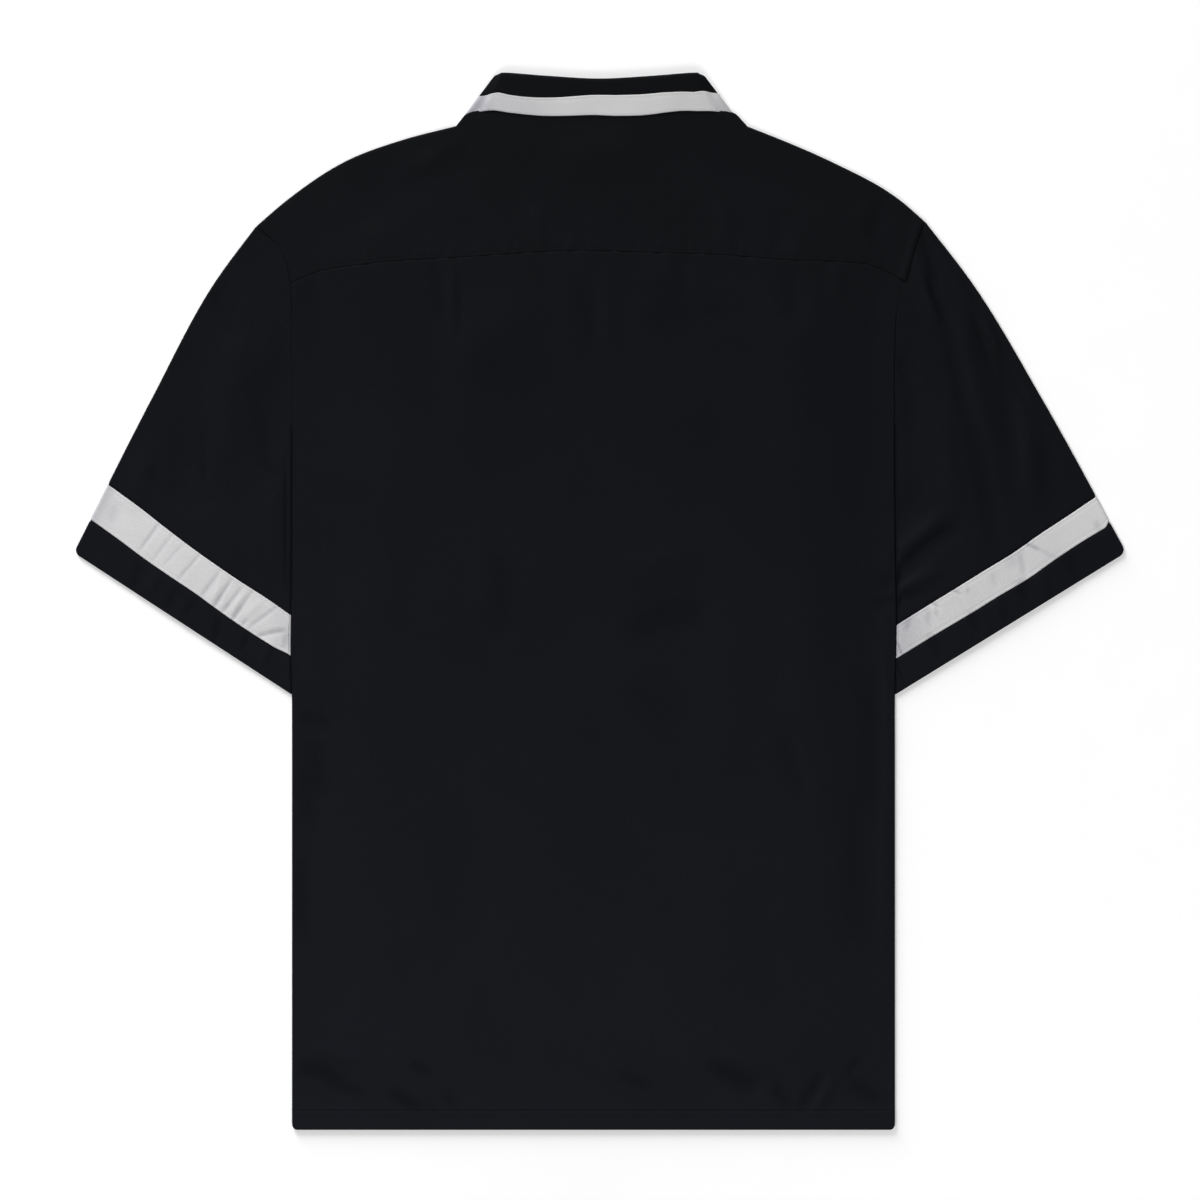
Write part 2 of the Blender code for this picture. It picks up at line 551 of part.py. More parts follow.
def buttons():
    """Turned discs with a rounded rim, face down on the table."""
    flat, side = BUTTON_RADIUS - BUTTON_ROUNDING, BUTTON_THICK - BUTTON_ROUNDING
    profile = [(0.0, BUTTON_THICK), (flat, BUTTON_THICK), (BUTTON_RADIUS, side),
               (BUTTON_RADIUS, BUTTON_ROUNDING), (flat, 0.0), (0.0, 0.0)]
    for i in range(BUTTONS):
        mesh = bpy.data.meshes.new(f"button_{i + 1}")
        mesh.from_pydata([(x * MM, 0.0, z * MM) for x, z in profile], [(k, k + 1) for k in range(5)], [])
        mesh.materials.append(material("black_button"))
        button = bpy.data.objects.new(f"button_{i + 1}", mesh)
        SHIRT.objects.link(button)
        button.location = (0.0, (BUTTON_TOP - i * BUTTON_PITCH) * MM, 0.0)
        turned = button.modifiers.new("turned", "SCREW")
        turned.steps = turned.render_steps = BUTTON_SIDES
        turned.use_merge_vertices = True
        turned.merge_threshold = 0.00005


for old in list(bpy.data.objects):
    bpy.data.objects.remove(old)
SHIRT = bpy.data.collections.new("waiter_shirt")
bpy.context.scene.collection.children.link(SHIRT)

back_panel()
yoke_panel()
front_panel("left", outer_lift)
front_panel("right", inner_lift)
sleeve("left")
sleeve("right")
collar()
buttons()
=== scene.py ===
# %% [markdown]
# # A waiter shirt, laid flat on its front
# The shirt is black shirting with off-white bands on the sleeves and along the collar's edge. It lies
# buttoned, with its back up, so two layers of cloth lie on each other with a little air between them. Cloth
# on a table is almost a drawing: where a point is in plan says which piece it is on, and its height is a
# small number worked out from that place. So every piece here is a grid of points in plan, and its height
# comes from a few functions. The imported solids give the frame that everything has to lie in.

# %% Load the frame and keep its box
import math
import bpy
import numpy as np
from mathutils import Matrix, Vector


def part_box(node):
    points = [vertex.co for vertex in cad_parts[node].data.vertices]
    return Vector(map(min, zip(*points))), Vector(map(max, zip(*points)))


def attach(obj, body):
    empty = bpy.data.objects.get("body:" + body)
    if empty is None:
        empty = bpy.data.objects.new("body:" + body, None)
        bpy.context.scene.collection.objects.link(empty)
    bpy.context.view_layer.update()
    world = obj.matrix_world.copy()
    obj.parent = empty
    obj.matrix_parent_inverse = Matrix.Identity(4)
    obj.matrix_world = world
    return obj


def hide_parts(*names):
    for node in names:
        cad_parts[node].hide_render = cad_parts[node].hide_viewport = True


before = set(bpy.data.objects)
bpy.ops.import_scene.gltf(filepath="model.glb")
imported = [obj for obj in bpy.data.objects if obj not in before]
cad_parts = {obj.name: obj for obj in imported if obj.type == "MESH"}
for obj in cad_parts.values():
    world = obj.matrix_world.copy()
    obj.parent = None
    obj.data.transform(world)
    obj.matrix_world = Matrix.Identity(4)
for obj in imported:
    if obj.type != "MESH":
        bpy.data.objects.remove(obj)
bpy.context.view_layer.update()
MM = 0.001

# %% [markdown]
# ## The cut and how it lies
# These are the sizes of the solids, in millimetres, written once more so that the finer surfaces lie on the
# same form. X runs across the shirt, with the wearer's left at -X. Y runs from the hem up to the collar.
# Where the solids' boxes say a size, it is read from them.

# %% Sizes of the cloth and of the body
def ends(node, axis):
    """The lowest and highest value of a solid along an axis, in millimetres."""
    low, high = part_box(node)
    return low[axis] / MM, high[axis] / MM


CLOTH = 0.5  # how thick a piece is drawn
HALF = CLOTH / 2
TABLE = 0.5  # the middle of what lies on the table
EDGE_HEIGHT, BODY_HEIGHT = 3.2, 5.4  # the middle of the upper layer at the edges, and inside them
SLEEVE_HEIGHT, SLEEVE_LOFT = 2.6, 0.7
LOFT_WIDTH, SLEEVE_LOFT_WIDTH = 75, 20
SIDES = {"left": -221.4, "right": 212.8}
OUTWARD = {"left": -1, "right": 1}
HEM = round(ends("back", 1)[0], 1)
ARMPIT = 123.5
ROLL_Y = (14, -10)  # from the armpit: where the cloth starts to roll over the sides, and does so fully
OPEN_Y = (-2, 24)  # and where the sleeve starts to slip under the body, and does so fully
TURN_OVER = 25  # from the shoulder's fold to the seam at the front
OVERLAP = 15  # each front goes this far past the middle
BUTTON_THICK = ends("button_1", 2)[1]
HOLE_PLACE = 1.15  # of a button's four holes, to each side of its middle
BUTTON_PLACES = [sum(ends(f"button_{i}", 1)) / 2 for i in range(1, 7)]
print("hem at", HEM, "buttons at", np.round(BUTTON_PLACES, 1).tolist())

# %% Lines of the cut, each from its first point to its last
SHOULDERS = {  # the fold, from the sleeve to the neck
    "left": [(-247.7, 269.7), (-225, 289.1), (-181.1, 317.9), (-142.2, 332.3), (-103, 342.4)],
    "right": [(234.8, 273.2), (216, 289.4), (164.5, 317.9), (131.4, 332.3), (106.4, 342.1)],
}
NECKLINE = {  # the yoke's edge, from the shoulder's fold: a round corner, and on under the collar
    "left": [(-103, 342.4), (-99.8, 346.3), (-96.2, 350.5), (-91.6, 352.7), (-85, 353.6), (-74, 354.2),
             (-50, 355.4), (0, 355.6)],
    "right": [(106.4, 342.1), (102.4, 346.3), (98, 350.8), (93.4, 352.6), (86, 353.4), (75, 354.2),
              (50, 355.4), (0, 355.6)],
}
ARMHOLES = {  # from the shoulder's fold to the armpit
    "left": [(-247.7, 269.7), (-230.8, 253.1), (-225.4, 241.5), (-222.8, 229.3), (-221.9, 181), (-221.4, 123.5)],
    "right": [(234.8, 273.2), (227.5, 251), (221.4, 230), (215.2, 211), (213.1, 181), (212.8, 123.5)],
}
UNDERARMS = {  # how far the side stands out beside the lower half of the sleeve, at these heights
    "left": [(-110, 0), (-64, 0.2), (-34, 0.9), (-14, 0.7), (40, 0.2), (100, 0)],
    "right": [(-110, 0), (-64, 0.1), (-36, 1), (-14, 1.3), (40, 0.5), (100, 0)],
}
YOKE_SEAM = [(-222.8, 229.3), (-207, 236.5), (-170, 243), (-93, 248.5), (-20, 252.8), (34, 251.6),
             (84, 250), (136, 246.2), (170, 245), (196, 242.4), (210, 236.4), (221.4, 230)]
SLEEVES = {
    # outer: the fold from the shoulder to the hem. inner_hem: the Y of the hem at the underarm.
    # hem_strip and band: how far up their upper edges are, along the outer fold and the underarm.
    # corner: the radius at the hem's end. bent: how far the strip's upper edge bends up at the fold.
    "left": {"outer": [(-247.7, 269.7), (-275.8, 231.7), (-323, 145.1), (-378.5, 35.4)], "corner": 4.4,
             "inner_hem": -66.7, "hem_strip": (26.6, 28), "band": (54.4, 56.5), "bent": 0},
    "right": {"outer": [(234.8, 273.2), (266.7, 231.8), (319.2, 145.2), (379.4, 35.6)], "corner": 5.4,
              "inner_hem": -66.8, "hem_strip": (23.3, 26), "band": (45.3, 49.7), "bent": 2.4},
}
WAVER = {  # how far the lower and the upper edge of a band stray from straight, from the fold to the body
    "left": [(0.2, 0.1), (-0.4, -0.1), (-1.4, -1.1), (-1.6, -1.8), (-1.5, -1.8), (-2.3, -1.2), (-2.5, 0.1),
             (-1.7, 0.4),
             (0, 0)],
    "right": [(-0.3, -0.2), (0.2, -0.7), (-0.4, -0.9), (-1.7, -1.8), (-1.1, -1.2), (-1, -0.8), (-0.4, -0.3),
              (-0.1, 0), (0, 0)],
}
WAVER_PLACES = (0, 0.12, 0.24, 0.36, 0.48, 0.6, 0.72, 0.84, 1)
COLLAR = np.array([  # half of the collar, from the nape to the front: its seam, its roll's middle, its edge
    # turn: 90 where the fall is on top, 0 where it stands on its side and -90 where it is underneath.
    # rise: how far the stand climbs. roll: how far apart the stand and the fall are at the roll.
    # stripe: how wide it is along the section, which crosses it aslant at the side of the neck.
    # seam_x seam_y  roll_x roll_y  edge_x edge_y  turn  rise roll stripe
    (0, 355.6, 0, 373.9, 0, 350, 90, 3, 3.6, 14.6),
    (38, 355.6, 38, 375.9, 40, 350, 90, 3, 3.6, 14.4),
    (64, 354.6, 67.5, 378.3, 72, 353, 88, 2.8, 3.4, 13.2),
    (80, 350.6, 71.9, 377.6, 91, 350.6, 76, 2.2, 3, 15.4),
    (86.4, 345.6, 73.6, 374.9, 100.4, 343, 22, 1.6, 2.6, 23.5),
    (89.4, 340.6, 71.6, 370, 100.8, 337, -65, 1, 2, 20),
    (91.6, 326, 61, 354, 98, 326, -90, 0, 1.5, 14.4),
    (70, 288, 46, 312, 92, 276, -90, 0, 1.5, 14.4),
    (36, 267, 24, 292, 84, 257, -90, 0, 1.5, 14.4),
    (8, 261, 9, 280, 76, 246, -90, 0, 1.5, 14.4),
])
FALL_EDGE = np.array([  # over the nape: X, how far up the fall's edge strays, and how much wider the stripe is
    (-88, 0.4, 0), (-76, 0.7, -0.4), (-66, -0.9, -0.8), (-56, -0.9, -1.4), (-47, -0.6, -1.7),
    (-30, -0.3, -1.5), (-6, 0.2, -0.5), (11, -0.4, 0), (30, 0.1, 0.2), (46, 1.4, 0), (57, 1.2, 0),
    (70, 0, 0.3), (80, 0.3, 1.6), (92, 0.5, 2.6), (102, 0.5, 2.6),
])
FRONT_STATION = 6  # the place in that table where the collar is fully underneath

# %% [markdown]
# ## Lines and grids
# A cutter works with smooth lines through a few marks, and so does this file: `curve` runs a smooth line
# through the knots, and `patch` fills the cloth between four such lines. Grids are dense at folded edges,
# where the cloth turns within a millimetre or two, and a few millimetres wide elsewhere.

# %% Smooth steps, lines and patches
def fade(value, start, end):
    """0 before the start, 1 past the end, and a soft S between: 3t^2 - 2t^3. The end may be the smaller."""
    share = np.clip((value - start) / (end - start), 0, 1)
    return share * share * (3 - 2 * share)


def lengths(line):
    """How far along a line of points each point is."""
    return np.concatenate([[0], np.cumsum(np.linalg.norm(np.diff(line, axis=0), axis=1))])


def at_lengths(line, wanted):
    """Points at these lengths along a line of points."""
    along = lengths(line)
    return np.stack([np.interp(wanted, along, line[:, i]) for i in range(line.shape[1])], axis=-1)


def hermite(knots, at, wanted, slope=None):
    """A cubic through each knot at its place, read at the wanted places. It leans as its neighbours do."""
    slope = np.gradient(knots, at, axis=0) if slope is None else slope
    k = np.clip(np.searchsorted(at, wanted, side="right") - 1, 0, len(at) - 2)
    span = (at[k + 1] - at[k])[:, None]
    t = (wanted - at[k])[:, None] / span
    return (knots[k] * (1 + 2 * t) * (1 - t) ** 2 + knots[k + 1] * t * t * (3 - 2 * t)
            + span * (slope[k] * t * (1 - t) ** 2 + slope[k + 1] * t * t * (t - 1)))


def curve(knots, shares):
    """Points at these shares of the length of a smooth line through the knots, or at so many even shares."""
    knots = np.asarray(knots, float)
    chord = lengths(knots)
    line = hermite(knots, chord, np.linspace(0, chord[-1], 400))
    shares = np.linspace(0, 1, shares) if isinstance(shares, int) else np.asarray(shares)
    return at_lengths(line, shares * lengths(line)[-1])


def patch(bottom, top, left, right, across, up):
    """Points between four lines that share their corners: straight columns, bent near the sides."""
    u, v = across[None, :, None], up[:, None, None]
    left_bend = left[:, None] - (1 - v) * bottom[0] - v * top[0]
    right_bend = right[:, None] - (1 - v) * bottom[-1] - v * top[-1]
    return (1 - v) * bottom + v * top + (1 - u) ** 6 * left_bend + u ** 6 * right_bend


def round_edge(distance, radius):
    """How far down a quarter circle has come, from 1 at the edge to 0 at one radius from it."""
    inside = 1 - np.clip(distance / radius, 0, 1)
    return 1 - np.sqrt(1 - inside * inside)


def quarter(radius, count):
    """Distances from an edge that turns over a quarter circle, close together at the edge: r - r * cos(turn)."""
    return radius * (1 - np.cos(np.linspace(0, math.pi / 2, count)))


def bell(value, middle, width):
    """A soft bump, 1 at its middle: e^-((value - middle) / width)^2."""
    return np.exp(-((value - middle) / width) ** 2)


def unit(vectors):
    """The vectors, each divided by its length."""
    return vectors / np.maximum(np.linalg.norm(vectors, axis=-1, keepdims=True), 1e-9)


print("a shoulder is", round(lengths(curve(SHOULDERS["left"], 50))[-1], 1), "mm long")

# %% [markdown]
# ## Heights
# The fronts lie on the table, and lift over the buttons and over the collar, which is folded down under
# them. The back and the yoke lie over the fronts with some air, low at the edges and full inside them.

# %% How high each layer lies
# how much, where in X, and where in Y: for the buttons, from the lowest one
LIFT_BUTTON = (BUTTON_THICK + 0.3, (32, 8), (-60, -20))
LIFT_COLLAR = (1.4, (132, 104), (205, 237))
LIFT_STACK = (1.45, (50, 19))
LIFT_NECK = (1.4, (150, 105), (290, 330))
ABOVE_NECK = 480


def outer_lift(x, y):
    """How far the outer front is off the table: a soft maximum of its rise over the buttons and the collar."""
    buttons = LIFT_BUTTON[0] * fade(y - BUTTON_PLACES[-1], *LIFT_BUTTON[2]) * fade(abs(x), *LIFT_BUTTON[1])
    collar = LIFT_COLLAR[0] * fade(y, *LIFT_COLLAR[2]) * fade(abs(x), *LIFT_COLLAR[1])
    return (buttons ** 4 + collar ** 4) ** 0.25


def inner_lift(x, y):
    """The inner front also lies on the outer one, where they overlap."""
    return outer_lift(x, y) + LIFT_STACK[0] * fade(x, *LIFT_STACK[1])


def shoulder_line(x):
    """The Y of the shoulder's fold above this X, which climbs inside the neck."""
    left, right = SHOULDERS["left"], SHOULDERS["right"][::-1]
    xs, ys = zip(*(left + [(0, ABOVE_NECK)] + right))
    return np.interp(x, xs, ys)


def upper_height(x, y):
    """The middle of the upper layer: an edge height, plus a rise that is a product of a fade from each edge."""
    rise = (fade(x - SIDES["left"], 0, LOFT_WIDTH) * fade(SIDES["right"] - x, 0, LOFT_WIDTH)
            * fade(y - HEM, 0, LOFT_WIDTH) * fade(shoulder_line(x) - y, 0, LOFT_WIDTH))
    near_neck = LIFT_NECK[0] * fade(y, *LIFT_NECK[2]) * fade(abs(x), *LIFT_NECK[1]) * (1 - rise)
    return EDGE_HEIGHT + (BODY_HEIGHT - EDGE_HEIGHT) * rise + near_neck


def rolled(y):
    """1 along the side seams, where the cloth rolls over the edge, and 0 along the armholes."""
    return fade(y - ARMPIT, *ROLL_Y)


# %% [markdown]
# ## Creases
# Cloth that was folded and pressed keeps soft folds, and cloth that is sewn keeps small puckers across its
# seams. Each is a short line in plan with a half width and a height: a ridge is above 0 and a trough below.
# Across the line it is a bell curve, and along it it fades out at both ends, so no two look alike. They are
# listed one by one.

# %% The creases of the upper layer
CREASES = np.array([
    # each: from X, Y to X, Y, half width, height
    # the back: a wide soft fold down the right, and a few places where the cloth is slack
    (137, 236, 143, 30, 20, 1.49), (143, 60, 160, -180, 19, 1.62), (187, 216, 187, 50, 15, -1.3),
    (188, 90, 192, -90, 13, -0.4), (195, -40, 198, -160, 10, -1), (182, -110, 188, -256, 12, -0.8),
    (207, 60, 208, -330, 4, 0.81), (108, 150, 112, -20, 22, 0.94), (-84, 212, -52, 190, 21, 1.76),
    (-84, 172, -36, 148, 20, -2.03), (-100, 200, -96, 110, 14, 0.94), (-24, 240, -18, 176, 8, 0.68),
    (4, 244, 8, 176, 6, 0.68), (-6, 236, -4, 168, 6, -0.68), (34, 238, 62, 232, 9, 0.68),
    (40, 206, 72, 196, 13, -1.35), (30, 170, 66, 120, 26, 0.81), (-88, 50, -84, -24, 9, 0.8),
    (-72, 38, -64, -22, 8, -1.1), (-94, -10, -62, -24, 7, -0.9), (-118, 16, -104, -30, 14, 0.81),
    (18, 22, 70, 32, 13, 1.22), (22, -22, 78, -4, 11, -1.7), (62, -14, 88, -20, 7, -0.6),
    (24, -62, 60, -92, 16, -0.6), (96, 30, 92, -120, 20, 1.08), (-20, -60, -34, -250, 28, 1.35),
    (132, -85, 150, -150, 9, -1.35), (146, -76, 162, -128, 6, -0.81), (-150, 130, -172, -60, 24, 1.22),
    (-172, -30, -166, -250, 22, 1.08), (-214, -52, -196, -70, 7, 0.94), (-216, -84, -192, -92, 5, -1.3),
    (-208, -98, -198, -144, 7, -1.2), (-213, -120, -206, -170, 6, -0.94), (-208, 40, -204, -60, 7, 0.81),
    (60, -180, 118, -300, 22, 1.08), (-104, -140, -112, -250, 20, -0.35), (-215, -176, -213, -252, 5, -0.9),
    (-207, 236, -204, 166, 9, -1.1), (80, 214, 92, 200, 8, -0.9),
    # puckers above the hem
    (-216, -334, -184, -346, 5, -2.12), (-206, -322, -170, -332, 6, 1.38), (-196, -346, -168, -356, 4, -1.12),
    (-150, -352, -128, -369, 4, -1.62), (-136, -350, -118, -366, 3.5, 1.25), (-112, -352, -100, -370, 3, -0.88),
    (-96, -358, -78, -372, 4, 0.75), (78, -332, 116, -352, 6, -1.75), (86, -322, 124, -340, 6, 1),
    (112, -352, 134, -369, 4, 1.12), (126, -346, 138, -368, 3.5, -1.12), (162, -338, 144, -370, 4, -1.38),
    (170, -340, 152, -372, 4, 1), (180, -346, 205, -362, 5, -1.25), (14, -340, 38, -350, 5, -0.9),
    (-136, -333, -120, -341, 3.5, -1.2), (176, -344, 188, -328, 3.5, -0.9),
    # the yoke: pulls down to its seam, and a slack place under the collar
    (-190, 262, -120, 318, 13, -1.25), (-190, 290, -150, 250, 9, 1), (-176, 300, -110, 268, 26, -0.8),
    (-150, 300, -96, 335, 8, 1.12), (-120, 330, -90, 300, 6, -1), (196, 262, 206, 290, 7, -1.38),
    (150, 285, 190, 262, 9, 1.12), (186, 290, 196, 240, 7, 1), (-30, 322, 40, 326, 14, 1.12),
    (50, 338, 110, 300, 9, -1), (-96, 300, -92, 256, 8, -0.88), (-46, 286, -44, 252, 5, 0.75),
    (20, 290, 24, 254, 6, -0.75), (88, 288, 92, 250, 7, 0.75), (132, 282, 128, 248, 6, -1),
    # below the yoke's seam
    (-118, 250, -112, 196, 6, -1), (-101.5, 241, -100, 184, 2.6, -1.1), (-106, 250, -104, 190, 3, 0.9),
    (60, 252, 62, 214, 5, -0.75), (138, 248, 142, 196, 8, -1.5), (170, 246, 172, 214, 6, 1),
    (197, 240, 196, 170, 8, -1.12),
    # the right sleeve: a fold from the shoulder to the band, and folds that fan out from under the body
    (232.5, 268, 245.5, 226, 3.4, -2.56), (236.5, 234, 252.5, 199, 3.2, -2.56), (226, 250, 244, 196, 5, 1.49),
    (247, 216, 268, 120, 5, -2.16), (267, 142, 287, 36, 6, -2.9), (256, 226, 283, 100, 7.5, 1.7),
    (246, 150, 256, 60, 9, 1.22), (290, 196, 299, 62, 7, -1.76), (304, 170, 312, 76, 7, 1.22),
    (322, 126, 324, 62, 7, -1.22), (222, 190, 226, 110, 6, -1.22), (205, 9, 236, 37, 5, -4.2),
    (226, 31, 262, 57, 4.6, -3), (206, 26, 252, 66, 6, 2.2), (196, -4, 238, 7, 3.6, -2.29),
    (206, 5, 250, 24, 5, 1.35), (214, 60, 232, 84, 8, -1.08), (242, 260, 271, 207, 4.5, 1.2),
    (268, 210, 285, 164, 3, -1.5), (275, 213, 290, 174, 3, 1), (215, 175, 223.5, 158, 3, -1.5),
    (289, 184, 314, 128, 4, -1.4),
    # the left sleeve
    (-230, 200, -228, 90, 7, -1.62), (-243, 172, -233, 84, 9, -2.2), (-262, 214, -272, 70, 13, 1.49),
    (-288, 190, -306, 96, 12, -0.94), (-276, 232, -262, 180, 8, -1.08), (-223.6, 130, -223.2, -8, 2.6, -3.6),
    (-236, 92, -234, 14, 6, 0.7), (-283, 140, -284, 76, 3.2, -1), (-322, 98, -317, 78, 3.5, -0.9),
    (-300, 118, -308, 66, 10, -1.08), (-324, 112, -338, 66, 9, 0.94), (-282, 70, -262, 20, 12, 1.08),
    (-244, 56, -230, -2, 6, -0.5),
    # across the left band and into its hem strip
    (-313.4, 60.8, -333, 33.5, 1.5, -0.5), (-304, 52.4, -325, 24.8, 1.4, -0.3),
    (-296.5, 44, -316.5, 23, 1.3, -0.25), (-284.5, 37, -306, 12.5, 1.4, -0.45),
    (-270, 25.5, -290, -1.5, 1.7, -0.5), (-262.5, 19, -279.5, -7, 1.3, -0.7),
    (-271.6, 5.1, -278.4, -5.4, 1.6, -0.5), (-255.5, 12, -273, -10, 1.3, -0.5),
    (-266, -1.2, -271.6, -8.2, 1.6, -0.4), (-246, 12.5, -266.5, -16.5, 1.3, -0.55),
    (-256.6, -2.4, -265.4, -14.8, 1.7, -0.6), (-228, -1, -256.5, -21.8, 1.3, -0.6),
    (-224, -20.5, -238, -22.6, 1.3, -1), (-233, -21.6, -247, -25.5, 1.3, -1),
    (-253, -12.5, -257.5, -17.5, 1.4, -0.6), (-224.5, -22, -226, -34, 2.6, -0.7),
    (-270.8, 14.5, -281, -1, 2, 0.35), (-254, 8, -266, -9.5, 1.8, 0.4), (-242, 2, -256, -12, 2.6, 0.35),
    (-347.5, 70, -352, 56, 4, -0.25), (-331, 27, -335, 7, 3.5, -1.3), (-318, 22, -324, 4, 4, 0.9),
    (-304, 10, -310, -6, 3, -1.2), (-292, 1, -297, -12, 3, -1), (-273.5, -11, -276.5, -30, 2.4, -1.5),
    (-252, -21, -256, -36, 2.4, -1.2), (-236, -28, -244, -46, 3.5, 1),
    # across the right band and into its hem strip, with the end of the underarm seam
    (305.5, 42.5, 318, 36.2, 1.3, -1.1), (312, 39, 332, 29, 1.8, -0.4), (303, 38.5, 306.5, 17, 2.4, -0.5),
    (296, 34, 299, 24, 4.5, -0.4), (283.6, 21.5, 285.5, 8.5, 2.4, -0.25), (251.5, 9.4, 262, 4.2, 1.1, -0.8),
    (261, 13, 265.5, 8, 1.8, 0.6), (237, 1.2, 245.5, -5, 1.1, -0.9), (238, -6, 237, -15, 2.6, -0.25),
    (236.8, -9, 239, -20, 2.2, -0.25), (239.5, -3, 242, -9, 1.8, 0.5), (224, -12.5, 221.5, -21, 2.4, -0.4),
    (212.5, -26, 219.6, -40.5, 0.7, -1.2), (212.8, -42, 221.2, -61, 0.8, -1.2), (358, 58, 362, 48, 2.4, -0.5),
    (304, 14, 309, 0, 4, -1.6), (316, 20, 322, 6, 4, 1), (340, 34, 346, 16, 5, -1.2),
    (268, -8, 274, -22, 3.5, -1.2), (284, 0, 290, -12, 3.5, 0.9), (238, -24, 246, -40, 3.5, -0.9),
])

# %% The creases of the lower layer, where the cloth lifts a little off the table
UNDER_CREASES = np.array([
    (-150, 210, -172, -60, 12, 1.1), (-90, 120, -104, -190, 15, 0.9), (-196, 60, -150, -40, 9, 0.8),
    (-176, -160, -186, -330, 11, 0.8), (-120, -250, -70, -340, 10, 0.6), (120, 214, 150, -20, 13, 1),
    (176, 120, 160, -120, 10, 0.9), (80, 30, 96, -240, 15, 0.9), (190, -120, 150, -290, 11, 0.7),
    (110, -300, 150, -352, 8, 0.6), (-280, 190, -300, 70, 9, 0.5), (-240, 120, -262, 30, 8, 0.5),
    (262, 190, 286, 70, 9, 0.5), (230, 90, 250, 10, 7, 0.5), (-312, 48, -324, 30, 2.2, 0.35),
    (-282, 26, -294, 9, 2, 0.35), (-262, 10, -270, -4, 2, 0.3), (-240, -4, -252, -20, 2.2, 0.35),
    (330, 50, 338, 36, 2.2, 0.3), (290, 28, 296, 12, 2, 0.35), (262, 12, 270, -4, 2.2, 0.3),
    (236, -2, 244, -18, 2, 0.35),
])
CREASE_FADE = 0.35  # of a crease's length, at each end
HOLLOW = 1.4  # how deep a trough is when it is two thirds of the way to its darkest
UPPER_FROM = (1.4, 2)  # a point this high, and this high for sure, is on an upper layer


def relief(x, y, creases=CREASES):
    """The sum of the creases at each place: height, times a bell across the line, times a fade over its ends."""
    total = np.zeros(np.broadcast(x, y).shape)
    for x0, y0, x1, y1, width, height in creases:
        long = math.hypot(x1 - x0, y1 - y0)
        along = ((x - x0) * (x1 - x0) + (y - y0) * (y1 - y0)) / long
        beside = ((x - x0) * (y1 - y0) - (y - y0) * (x1 - x0)) / long
        held = fade(np.minimum(along, long - along), -0.8 * width, max(CREASE_FADE * long, width))
        total = total + height * held * bell(beside, 0, width)
    return total


def pressed(total, room):
    """Relief whose troughs come to rest on the layer below: they sink room * (1 - e^(depth / room))."""
    return np.where(total < 0, -room * (1 - np.exp(np.minimum(total, 0) / room)), total)


def painted_trough_shade(grid):
    """Painted shade for the troughs: how far into a trough each point of an upper layer is, 1 - e^(height /
    HOLLOW), so 0 beside the trough.
    """
    depth = np.minimum(relief(grid[..., 0], grid[..., 1]), 0)
    return (1 - np.exp(depth / HOLLOW)) * fade(grid[..., 2], *UPPER_FROM)


def puckers(along, away, spacing, reach, height, seed):
    """Small uneven gathers along a seam: a sum of three unlike waves, which fades away from the seam."""
    waves = sum(np.sin(along * math.tau / (spacing * stretch) + seed * turn)
                for stretch, turn in ((1, 1.7), (1.37, 4.1), (2.3, 2.9)))
    return height * np.clip(waves / 2.2, -0.3, 1) * (1 - fade(away, 0, reach))


print(len(CREASES), "creases above,", len(UNDER_CREASES), "below")

# %% [markdown]
# ## Cloth from a grid
# Shirting is a third of a millimetre thick. A grid of points is the middle of the cloth, and Solidify gives
# it a wall to both sides. It is drawn a little thicker than the real cloth, so that edges and laps catch
# the light. The UV map is the length of the cloth itself, in metres, so the weave follows the piece and
# isn't stretched at a fold.

# %% Grids to meshes
def with_height(plan, height):
    """Points in plan with their height as the third number."""
    return np.concatenate([plan, height[..., None]], axis=-1)


def cloth_lengths(grid):
    """UV of a grid: how far each point is along its row, from the middle, and along its column."""
    across = np.linalg.norm(np.diff(grid, axis=1), axis=2)
    up = np.linalg.norm(np.diff(grid, axis=0), axis=2)
    u = np.concatenate([np.zeros((len(grid), 1)), np.cumsum(across, axis=1)], axis=1)
    v = np.concatenate([np.zeros((1, grid.shape[1])), np.cumsum(up, axis=0)], axis=0)
    return np.stack([u - u[:, -1:] / 2, v], axis=-1)


def grid_normals(grid):
    """At each point, the cross product of the steps along its row and along its column, made one long."""
    return unit(np.cross(np.gradient(grid, axis=1), np.gradient(grid, axis=0)))


def new_piece(name, points, faces, finish):
    """A smooth mesh object from points in millimetres, at the origin, that moves with the frame's one body."""
    mesh = bpy.data.meshes.new(name)
    mesh.from_pydata((points * MM).tolist(), [], faces)
    mesh.shade_smooth()
    mesh.materials.append(bpy.data.materials[finish])
    piece = bpy.data.objects.new(name, mesh)
    bpy.context.scene.collection.objects.link(piece)
    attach(piece, "root")
    return piece


def cloth(name, grid, finish, node, keep=None, painted_shade=0):
    """A walled piece of cloth on a grid, in place of its solid. Its troughs, and the places given in the last
    argument, get a painted shade in the material.
    """
    columns = grid.shape[1]
    first = np.arange(grid.shape[0] * columns).reshape(-1, columns)[:-1, :-1]
    faces = np.stack([first, first + 1, first + columns + 1, first + columns], axis=-1)
    faces = (faces if keep is None else faces[keep]).reshape(-1, 4)
    used, faces = np.unique(faces, return_inverse=True)
    faces = faces.reshape(-1, 4)
    piece = new_piece(name, grid.reshape(-1, 3)[used], faces.tolist(), finish)
    uv = cloth_lengths(grid).reshape(-1, 2)[used] * MM
    piece.data.uv_layers.new(name="cloth").uv.foreach_set("vector", uv[faces.ravel()].ravel())
    # painted shade: how far each point goes to the darker colour, kept on the mesh as the attribute "deep"
    deep = (painted_trough_shade(grid) + painted_shade).ravel()[used]
    piece.data.attributes.new("deep", "FLOAT", "POINT").data.foreach_set("value", deep)
    wall = piece.modifiers.new("wall", "SOLIDIFY")
    wall.thickness = CLOTH * MM
    wall.offset = 0
    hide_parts(node)
    print(name, "has", 4 * len(faces) // 1000, "thousand triangles with its wall")
    return piece


